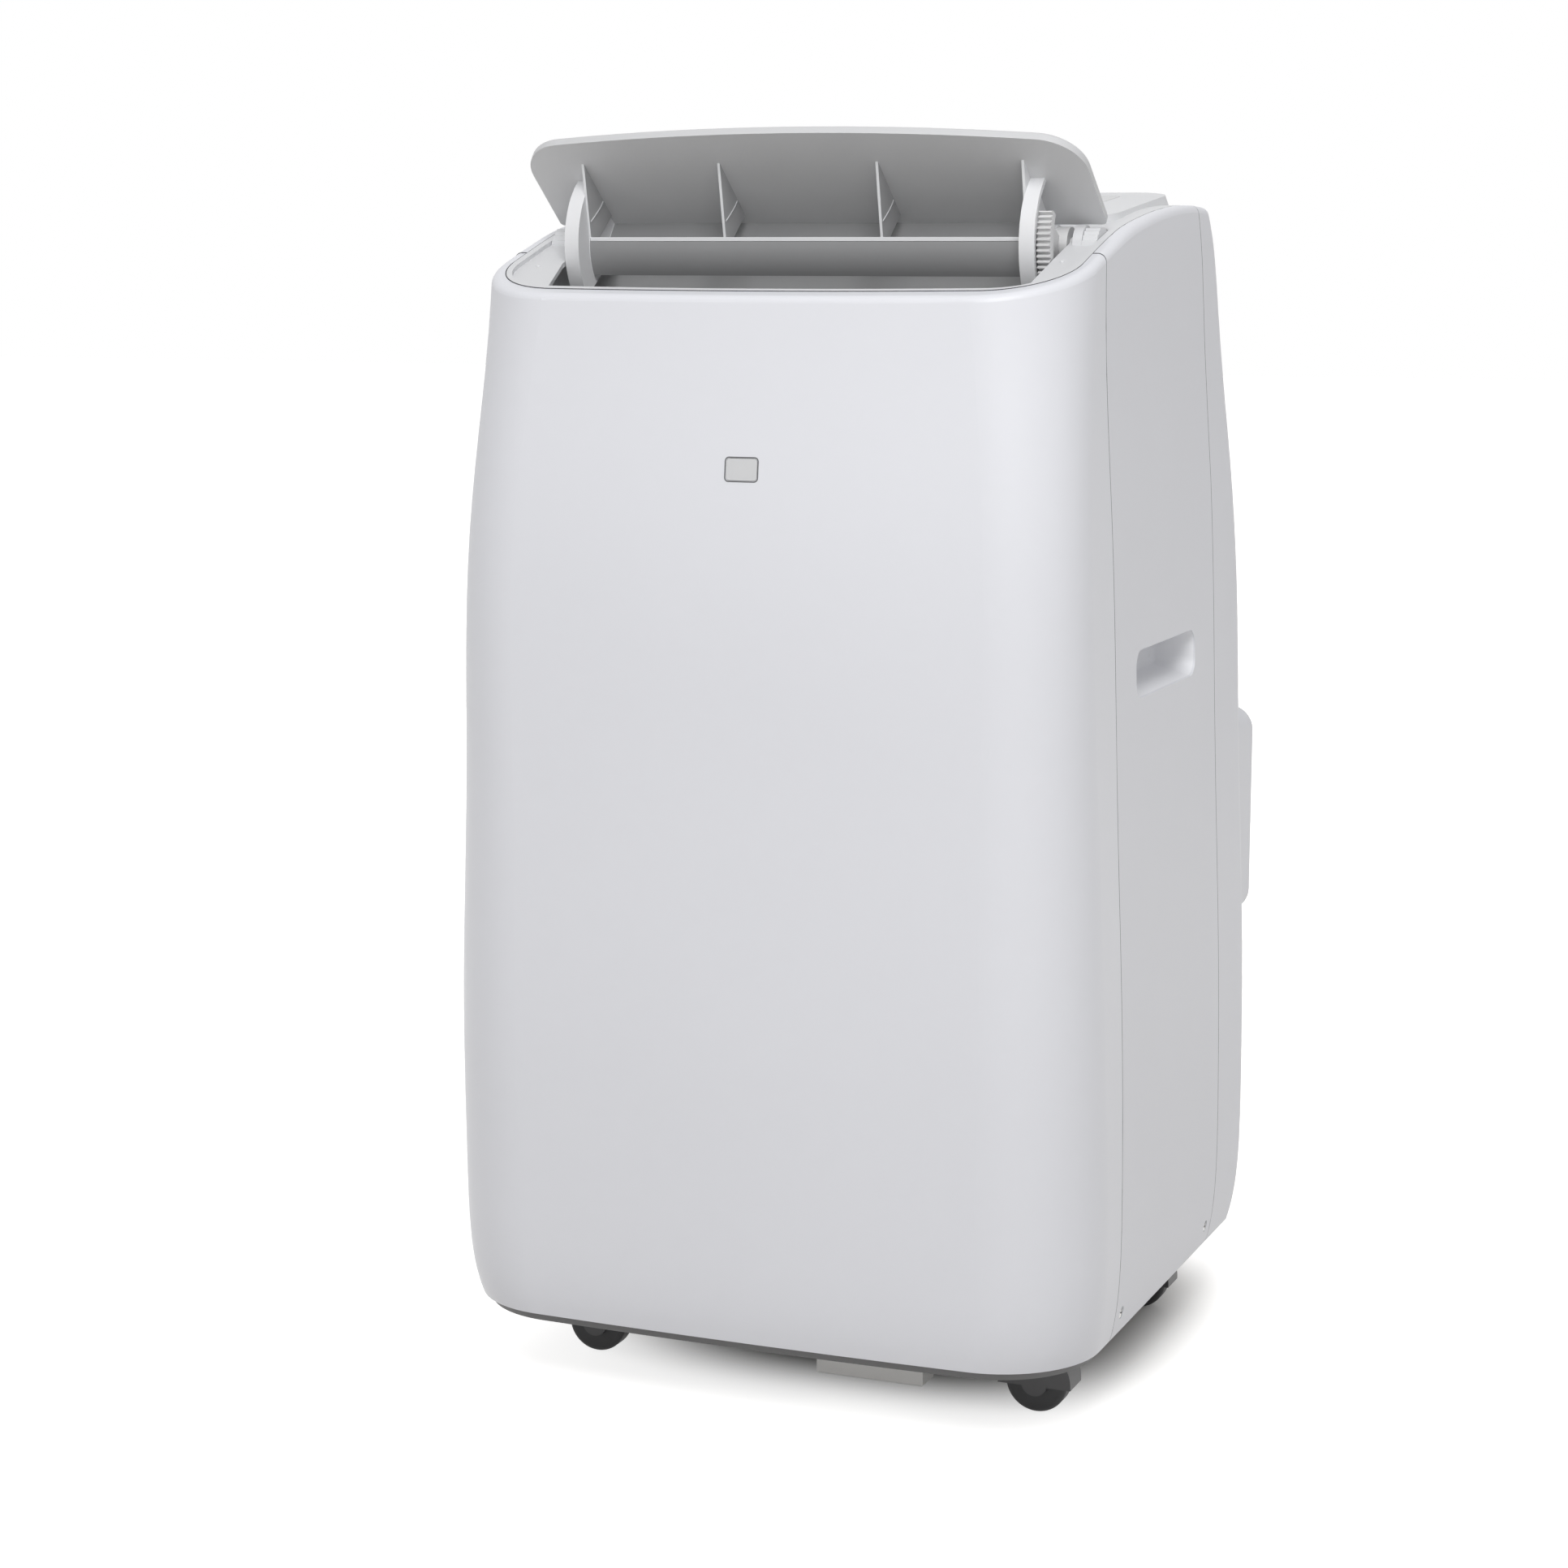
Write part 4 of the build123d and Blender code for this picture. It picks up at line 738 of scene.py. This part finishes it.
def coverOutline(settings):
    half, front, rear = settings["coverHalf"], settings["coverFront"], settings["coverRear"]
    big, small, bow = settings["coverFrontCorner"], settings["coverRearCorner"], settings["coverBow"]
    flat = half - big
    bowed, right = [], []
    for k in range(-settings["bowSteps"], settings["bowSteps"] + 1):
        x = flat * k / settings["bowSteps"]
        bowed.append((x, front + bow * (x / half) ** 2))
    bend = front + bow * (flat / half) ** 2 + big
    for k in range(1, settings["frontCornerSteps"]):
        turn = math.radians(-90.0 + 90.0 * k / settings["frontCornerSteps"])
        right.append((flat + big * math.cos(turn), bend + big * math.sin(turn)))
    for k in range(settings["sideSteps"] + 1):
        right.append((half, bend + (rear - small - bend) * k / settings["sideSteps"]))
    for k in range(1, settings["rearCornerSteps"]):
        turn = math.radians(90.0 * k / settings["rearCornerSteps"])
        right.append((half - small + small * math.cos(turn), rear - small + small * math.sin(turn)))
    span = half - small
    back = [(span - 2.0 * span * k / settings["backSteps"], rear) for k in range(settings["backSteps"] + 1)]
    left = [(-x, y) for x, y in reversed(right)]
    return bowed + right + back + left


def addCoverSeam(settings):
    surface = surfaceOf("top_cover")
    path, widths = [], []
    outline = coverOutline(settings)
    for index, (x, y) in enumerate(outline):
        before, after = outline[index - 1], outline[(index + 1) % len(outline)]
        along = Vector((after[0] - before[0], after[1] - before[1], 0.0)).normalized()
        outward = Vector((along.y, -along.x, 0.0))
        inner = Vector((x, y, settings["castHeight"])) - outward * settings["inside"]
        hit = surface.ray_cast(inner, down)[0]
        if hit is None or hit.z < settings["roofLevel"]:
            continue
        start = Vector((x, y, hit.z - settings["coverDrop"])) + outward * settings["wallStart"]
        wall = surface.ray_cast(start, -outward, settings["wallReach"])[0]
        if wall is None:
            continue
        path.append(Vector((wall.x, wall.y, hit.z)) + outward * (settings["coverGap"] / 2))
        widths.append(outward)
    bm = bmesh.new()
    addStrip(bm, path, widths, [down] * len(path), settings["coverGap"], settings["recess"] / 2,
             settings["depth"], closed=True)
    addPiece("seamShadowStrip_cover", bm, "seamShade", "casing", smooth=False)
    print("cover seam points", len(path), "of", len(outline))


addSideSeams(seamSettings)
addCoverSeam(seamSettings)
print("seams laid")


# painted shade: a thin dark ring round the receiver lens stands for the shadow in the gap about it
outlineSettings = {
    "grow": 0.0003,
    "line": 0.0007,
    "corner": 0.0022,
    "cornerSteps": 6,
    "proud": 0.00012,
    "sink": 0.0003,
    "castFrom": -0.4,
}


def roundedRing(halfWidth, halfRise, corner, steps):
    points = []
    for quarter in range(4):
        signX = 1 if quarter in (0, 3) else -1
        signZ = 1 if quarter in (0, 1) else -1
        for k in range(steps + 1):
            turn = math.radians(90.0 * (quarter + k / steps))
            points.append((signX * (halfWidth - corner) + corner * math.cos(turn),
                           signZ * (halfRise - corner) + corner * math.sin(turn)))
    return points


def addReceiverOutline(settings):
    low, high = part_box("receiver_window")
    middle = (low + high) / 2
    surface = surfaceOf("front_panel")
    grow = settings["grow"] + settings["line"] / 2
    halfWidth, halfRise = (high.x - low.x) / 2 + grow, (high.z - low.z) / 2 + grow
    ring = roundedRing(halfWidth, halfRise, settings["corner"], settings["cornerSteps"])
    inward = Vector((0.0, 1.0, 0.0))
    path, widths = [], []
    for index, (x, z) in enumerate(ring):
        before, after = ring[index - 1], ring[(index + 1) % len(ring)]
        along = Vector((after[0] - before[0], 0.0, after[1] - before[1])).normalized()
        start = Vector((middle.x + x, settings["castFrom"], middle.z + z))
        path.append(surface.ray_cast(start, inward)[0])
        widths.append(Vector((along.z, 0.0, -along.x)))
    bm = bmesh.new()
    addStrip(bm, path, widths, [inward] * len(path), settings["line"], -settings["proud"], settings["sink"],
             closed=True)
    addPiece("receiverShadowRing", bm, "outlineShade", "casing", smooth=False)


addReceiverOutline(outlineSettings)
print("receiver outlined")


# casing screws with cross recesses
screwSettings = {
    "headRadius": 0.0035,
    "headRise": 0.0016,
    "crownRise": 0.0007,
    "crownShare": 0.92,
    "crownSteps": 6,
    "rimDrop": 1.35,
    "segments": 28,
    "crossLong": 0.0042,
    "crossWide": 0.0009,
    "crossDeep": 0.0013,
    "twist": 0.007,
    "sideFrom": 0.18,
    "weld": 0.000001,
}


def looseParts(mesh, weld):
    # lowest and highest corner of each separate lump of the mesh
    bm = bmesh.new()
    bm.from_mesh(mesh)
    bmesh.ops.remove_doubles(bm, verts=bm.verts, dist=weld)
    left = set(bm.verts)
    boxes = []
    while left:
        stack = [left.pop()]
        low, high = stack[0].co.copy(), stack[0].co.copy()
        while stack:
            vertex = stack.pop()
            for axis in range(3):
                low[axis] = min(low[axis], vertex.co[axis])
                high[axis] = max(high[axis], vertex.co[axis])
            for edge in vertex.link_edges:
                other = edge.other_vert(vertex)
                if other in left:
                    left.remove(other)
                    stack.append(other)
        boxes.append((low, high))
    bm.free()
    return sorted(boxes, key=lambda box: tuple(box[0]))  # the same order on each run


def screwHead(settings):
    radius, rise, crown = settings["headRadius"], settings["headRise"], settings["crownRise"]
    profile = [(0.0, rise)]
    for k in range(1, settings["crownSteps"] + 1):
        share = k / settings["crownSteps"]
        profile.append((radius * settings["crownShare"] * share, rise - crown * share ** 2))
    profile += [(radius, rise - crown * settings["rimDrop"]), (radius, 0.0)]
    bm = bmesh.new()
    addLathe(bm, profile, Matrix.Identity(4), segments=settings["segments"])
    mesh = bpy.data.meshes.new("screwHead")
    bmesh.ops.recalc_face_normals(bm, faces=bm.faces)
    bm.to_mesh(mesh)
    bm.free()
    head = bpy.data.objects.new("screwHead", mesh)
    scene.collection.objects.link(head)
    cutter = bmesh.new()
    size = Matrix.Diagonal((settings["crossLong"], settings["crossWide"], 2.0 * settings["crossDeep"], 1.0))
    for turn in (0.0, 90.0):
        place = Matrix.Translation((0.0, 0.0, rise)) @ Matrix.Rotation(math.radians(turn), 4, "Z") @ size
        bmesh.ops.create_cube(cutter, size=1.0, matrix=place)
    cutMesh = bpy.data.meshes.new("screwCross")
    cutter.to_mesh(cutMesh)
    cutter.free()
    cross = bpy.data.objects.new("screwCross", cutMesh)
    scene.collection.objects.link(cross)
    trim = head.modifiers.new("cross", "BOOLEAN")
    trim.operation = "DIFFERENCE"
    trim.solver = "EXACT"
    trim.use_self = True
    trim.object = cross
    graph = bpy.context.evaluated_depsgraph_get()
    cut = bpy.data.meshes.new_from_object(head.evaluated_get(graph))
    for item in (head, cross):
        bpy.data.objects.remove(item)
    return cut


def addScrews(settings):
    head = screwHead(settings)
    bm = bmesh.new()
    boxes = looseParts(nodes["case_screws"].data, settings["weld"])
    for low, high in boxes:
        middle = (low + high) / 2
        if abs(middle.x) > settings["sideFrom"]:
            side = math.copysign(1.0, middle.x)
            outer = high.x if side > 0 else low.x
            place = Vector((outer - side * settings["headRise"], middle.y, middle.z))
            outward = Vector((side, 0.0, 0.0))
        else:
            place = Vector((middle.x, high.y - settings["headRise"], middle.z))
            outward = Vector((0.0, 1.0, 0.0))
        turn = outward.to_track_quat("Z", "X").to_matrix().to_4x4()
        start = len(bm.verts)
        bm.from_mesh(head)
        bm.verts.ensure_lookup_table()
        twist = Matrix.Rotation(settings["twist"] * len(bm.verts), 4, "Z")  # no two heads stop at one angle
        bmesh.ops.transform(bm, matrix=Matrix.Translation(place) @ turn @ twist, verts=bm.verts[start:])
    piece = addPiece("screwHeads", bm, "screwSteel", "casing")
    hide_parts("case_screws")
    print("screws", len(boxes))


addScrews(screwSettings)


# control panel: key symbols, lamps and display segments, laid on the tilted deck
deckSettings = {
    "middle": (0.0, 0.025, 0.7077),
    "slope": 5.74,
    "keyPitch": 0.030,
    "keyRow": -0.006,
    "keyTop": 0.0013,
    "keys": ("power", "mode", "fan", "timer", "down", "up"),
    "stroke": 0.00055,
    "print": 0.00012,
    "markRadius": 0.0028,
    "ledRow": 0.0055,
    "ledRadius": 0.0011,
    "ledRise": 0.0007,
    "ledFoot": 0.0003,
    "ledSegments": 16,
    "displayRow": 0.030,
}
deckTilt = Matrix.Rotation(math.radians(deckSettings["slope"]), 4, "X")
deckPlace = Matrix.Translation(deckSettings["middle"]) @ deckTilt
deckUp = deckPlace.to_3x3() @ Vector((0.0, 0.0, 1.0))


def keyAcross(index, settings):
    return (index - (len(settings["keys"]) - 1) / 2) * settings["keyPitch"]


def arcPoints(radius, start, end, count, centre=(0.0, 0.0)):
    points = []
    for k in range(count + 1):
        turn = math.radians(start + (end - start) * k / count)
        points.append((centre[0] + radius * math.cos(turn), centre[1] + radius * math.sin(turn)))
    return points


def keyMarks(radius):
    fanBlades = []
    for k in range(3):
        turn = 120.0 * k + 90.0
        angle = math.radians(turn)
        centre = (0.5 * radius * math.cos(angle), 0.5 * radius * math.sin(angle))
        fanBlades.append(arcPoints(0.5 * radius, turn + 180.0, turn + 10.0, 8, centre))
    flake = [[(-radius * math.cos(a), -radius * math.sin(a)), (radius * math.cos(a), radius * math.sin(a))]
             for a in (math.radians(30.0), math.radians(90.0), math.radians(150.0))]
    return {
        "power": [arcPoints(radius, 125.0, 415.0, 22), [(0.0, 0.15 * radius), (0.0, 1.15 * radius)]],
        "mode": flake,
        "fan": fanBlades,
        "timer": [arcPoints(radius, 0.0, 360.0, 26),
                  [(0.0, 0.65 * radius), (0.0, 0.0), (0.5 * radius, 0.0)]],
        "down": [[(-radius, 0.45 * radius), (0.0, -0.55 * radius), (radius, 0.45 * radius)]],
        "up": [[(-radius, -0.45 * radius), (0.0, 0.55 * radius), (radius, -0.45 * radius)]],
    }


def addStroke(bm, points, centre, height, settings):
    path, widths = [], []
    for index, point in enumerate(points):
        before, after = points[max(index - 1, 0)], points[min(index + 1, len(points) - 1)]
        along = Vector((after[0] - before[0], after[1] - before[1], 0.0)).normalized()
        path.append(deckPlace @ Vector((centre[0] + point[0], centre[1] + point[1], height)))
        widths.append(deckPlace.to_3x3() @ Vector((along.y, -along.x, 0.0)))
    addStrip(bm, path, widths, [-deckUp] * len(path), settings["stroke"], -settings["print"],
             settings["print"] / 2)


def addKeyMarks(settings):
    marks = keyMarks(settings["markRadius"])
    for index, key in enumerate(settings["keys"]):
        bm = bmesh.new()
        centre = (keyAcross(index, settings), settings["keyRow"])
        for stroke in marks[key]:
            addStroke(bm, stroke, centre, settings["keyTop"], settings)
        addPiece("keyMark_" + key, bm, "printGrey", "button_" + key + "_cap", smooth=False)


def addLeds(settings):
    bm = bmesh.new()
    profile = domeProfile(settings["ledRadius"], settings["ledRise"], settings["ledFoot"])
    for index in range(len(settings["keys"])):
        spot = Matrix.Translation((keyAcross(index, settings), settings["ledRow"], 0.0))
        addLathe(bm, profile, deckPlace @ spot, segments=settings["ledSegments"])
    addPiece("panelLamps", bm, "ledFrost", "casing")


segmentSettings = {
    "rise": 0.0115,
    "width": 0.0064,
    "bar": 0.0011,
    "gap": 0.0002,
    "lift": 0.00008,
    "digits": (-0.0055, 0.0055),
    "castHeight": 0.02,
}


def addSegments(settings, deck):
    surface = surfaceOf("display_window")
    half, tall, bar = settings["width"] / 2, settings["rise"] / 2, settings["bar"] / 2
    lines = [((-half, tall), (half, tall)), ((-half, 0.0), (half, 0.0)), ((-half, -tall), (half, -tall)),
             ((-half, 0.0), (-half, tall)), ((half, 0.0), (half, tall)),
             ((-half, -tall), (-half, 0.0)), ((half, -tall), (half, 0.0))]
    bm = bmesh.new()
    for digit in settings["digits"]:
        for start, end in lines:
            one, two = Vector((*start, 0.0)), Vector((*end, 0.0))
            along = (two - one).normalized()
            across = Vector((along.y, -along.x, 0.0))
            one, two = one + along * (bar + settings["gap"]), two - along * (bar + settings["gap"])
            outline = [one - along * bar, one + across * bar, two + across * bar, two + along * bar,
                       two - across * bar, one - across * bar]
            tops, feet = [], []
            for point in outline:
                spot = deckPlace @ (point + Vector((digit, deck["displayRow"], settings["castHeight"])))
                hit = surface.ray_cast(spot, -deckUp)[0]
                tops.append(bm.verts.new(hit + deckUp * settings["lift"]))
                feet.append(bm.verts.new(hit - deckUp * settings["lift"]))
            bm.faces.new(tops)
            bm.faces.new(feet)
            for k in range(len(outline)):
                n = (k + 1) % len(outline)
                bm.faces.new((tops[k], tops[n], feet[n], feet[k]))
    addPiece("displaySegments", bm, "segmentGrey", "casing", smooth=False)


addKeyMarks(deckSettings)
addLeds(deckSettings)
addSegments(segmentSettings, deckSettings)
print("control panel marked")


# stepped ledges that close the tray beside the pivot ears
ledgeSettings = {
    "span": (0.1625, 0.1712),
    "section": [(-0.0885, 0.6822), (-0.0882, 0.6862), (-0.0864, 0.6866), (-0.0860, 0.6892), (-0.0838, 0.6895),
                (-0.0833, 0.6916), (-0.0812, 0.6919), (-0.0806, 0.6932), (-0.0722, 0.6936), (-0.0690, 0.6918),
                (-0.0668, 0.6890), (-0.0660, 0.6845)],
    "edge": 0.0003,
}


def addLedges(settings):
    bm = bmesh.new()
    for side in (-1, 1):
        ends = []
        for across in settings["span"]:
            ends.append([bm.verts.new((side * across, y, z)) for y, z in settings["section"]])
        count = len(settings["section"])
        for k in range(count):
            n = (k + 1) % count
            bm.faces.new((ends[0][k], ends[0][n], ends[1][n], ends[1][k]))
        bm.faces.new(ends[0])
        bm.faces.new(ends[1])
    bevelLong(bm, settings["edge"], settings["edge"])
    addPiece("hingeLedges", bm, "coverGrey", "casing")


addLedges(ledgeSettings)
print("hinge ledges set")


# finger guard inside the exhaust outlet
guardSettings = {
    "middle": (0.121, 0.172, 0.316),
    "bore": 0.0582,
    "rings": (0.011, 0.034),
    "spokes": 10,
    "bar": 0.0018,
    "depth": 0.007,
    "ringSteps": 48,
    "inset": 0.0004,
}


def addGuard(settings):
    bm = bmesh.new()
    middle = Vector(settings["middle"])
    back = Vector((0.0, -1.0, 0.0))

    def spot(radius, turn):
        return middle + Vector((radius * math.cos(turn), 0.0, radius * math.sin(turn)))

    for radius in settings["rings"]:
        turns = [2.0 * math.pi * k / settings["ringSteps"] for k in range(settings["ringSteps"])]
        path = [spot(radius, turn) for turn in turns]
        widths = [(point - middle).normalized() for point in path]
        addStrip(bm, path, widths, [back] * len(path), settings["bar"], 0.0, settings["depth"], closed=True)
    for k in range(settings["spokes"]):
        turn = 2.0 * math.pi * k / settings["spokes"]
        path = [spot(settings["rings"][0], turn), spot(settings["bore"], turn)]
        across = (path[1] - path[0]).normalized().cross(back)
        addStrip(bm, path, [across] * 2, [back] * 2, settings["bar"], settings["inset"],
                 settings["depth"] - settings["inset"])
    addPiece("exhaustGuard", bm, "satinWhite", "casing")


addGuard(guardSettings)
print("exhaust guarded")


# fine net in the intake filter
netSettings = {
    "half": 0.149,
    "low": 0.437,
    "high": 0.611,
    "pitch": 0.0042,
    "wire": 0.0005,
    "lap": 0.7,
    "behind": 0.0015,
    "castFrom": 0.3,
}


def addNet(settings):
    surface = surfaceOf("filter_screen")
    back = Vector((0.0, -1.0, 0.0))
    count = int((settings["high"] - settings["low"]) / settings["pitch"])
    curve = []
    for k in range(count + 1):
        height = settings["low"] + settings["pitch"] * k
        hit = surface.ray_cast(Vector((0.0, settings["castFrom"], height)), back)[0]
        if hit is not None:
            curve.append(Vector((0.0, hit.y - settings["behind"], height)))
    bm = bmesh.new()
    half, wire, lap = settings["half"], settings["wire"], settings["lap"]
    for point in curve:
        ends = [point + Vector((-half, 0.0, 0.0)), point + Vector((half, 0.0, 0.0))]
        addStrip(bm, ends, [Vector((0.0, 0.0, 1.0))] * 2, [back] * 2, wire, 0.0, wire)
    columns = int(2.0 * half / settings["pitch"])
    for k in range(columns + 1):
        shift = Vector((-half + 2.0 * half * k / columns, 0.0, 0.0))
        path = [point + shift for point in curve]
        addStrip(bm, path, [Vector((1.0, 0.0, 0.0))] * len(path), [back] * len(path), wire, wire * lap,
                 wire * (1.0 + lap))
    addPiece("filterNet", bm, "filterDark", "casing", smooth=False)
    print("net wires", len(curve) + columns + 1)


addNet(netSettings)


# step lines on the louver ribs, and small pips on the tray
ribSettings = {
    "ribs": (-0.1362, -0.049, 0.049),
    "face": 0.0008,
    "line": [(0.0268, 0.0112), (0.0270, 0.0085), (0.0275, 0.0060), (0.0284, 0.0030), (0.0296, -0.0005),
             (0.0310, -0.0042), (0.0327, -0.0085)],
    "width": 0.0005,
    "proud": 0.0004,
}
pipSettings = {
    "places": ((-0.1605, -0.128), (0.1605, -0.118)),
    "radius": 0.0014,
    "rise": 0.0009,
    "foot": 0.0006,
    "segments": 18,
    "castHeight": 0.8,
}


def raisedPoint(x, forward, up, settings):
    turn = math.radians(settings["raise"])
    ahead = forward * math.cos(turn) - up * math.sin(turn)
    above = forward * math.sin(turn) + up * math.cos(turn)
    return Vector((x, settings["pivot"][0] - ahead, settings["pivot"][1] + above))


def addRibSteps(settings, louver):
    bm = bmesh.new()
    for rib in settings["ribs"]:
        path = [raisedPoint(rib + settings["face"], forward, up, louver) for forward, up in settings["line"]]
        widths = []
        for index in range(len(path)):
            along = path[min(index + 1, len(path) - 1)] - path[max(index - 1, 0)]
            widths.append(along.cross(Vector((1.0, 0.0, 0.0))).normalized())
        left = [Vector((-1.0, 0.0, 0.0))] * len(path)
        addStrip(bm, path, widths, left, settings["width"], -settings["proud"], settings["proud"] / 2)
    addPiece("ribSteps", bm, "coverGrey", "louver", smooth=False)


def addPips(settings):
    surface = surfaceOf("top_cover")
    bm = bmesh.new()
    profile = domeProfile(settings["radius"], settings["rise"], settings["foot"])
    for x, y in settings["places"]:
        hit, normal = surface.ray_cast(Vector((x, y, settings["castHeight"])), down)[:2]
        turn = normal.to_track_quat("Z", "X").to_matrix().to_4x4()
        addLathe(bm, profile, Matrix.Translation(hit) @ turn, segments=settings["segments"])
    addPiece("trayPips", bm, "coverGrey", "casing")


# pale lip along the top of the vane
lipSettings = {
    "half": 0.1357,
    "reach": 0.0311,
    "topAngle": -30.1,
    "tall": 0.0023,
    "proud": 0.0002,
    "depth": 0.0009,
    "steps": 24,
    "longEdge": 0.001,
    "edge": 0.00035,
}


def addVaneLip(settings, louver):
    middle = math.radians(settings["topAngle"]) - settings["tall"] / 2 / settings["reach"]
    radial = (math.cos(middle), math.sin(middle))
    origin = raisedPoint(0.0, 0.0, 0.0, louver)
    inward = (origin - raisedPoint(0.0, *radial, louver)).normalized()
    across = inward.cross(Vector((1.0, 0.0, 0.0))).normalized()
    path = []
    for k in range(settings["steps"] + 1):
        x = settings["half"] * (2.0 * k / settings["steps"] - 1.0)
        path.append(raisedPoint(x, settings["reach"] * radial[0], settings["reach"] * radial[1], louver))
    bm = bmesh.new()
    addStrip(bm, path, [across] * len(path), [inward] * len(path), settings["tall"], -settings["proud"],
             settings["depth"])
    bevelLong(bm, settings["longEdge"], settings["edge"])
    addPiece("vaneLip", bm, "coverGrey", "louver")


addRibSteps(ribSettings, louverSettings)
addVaneLip(lipSettings, louverSettings)
addPips(pipSettings)
print("louver and tray detailed")
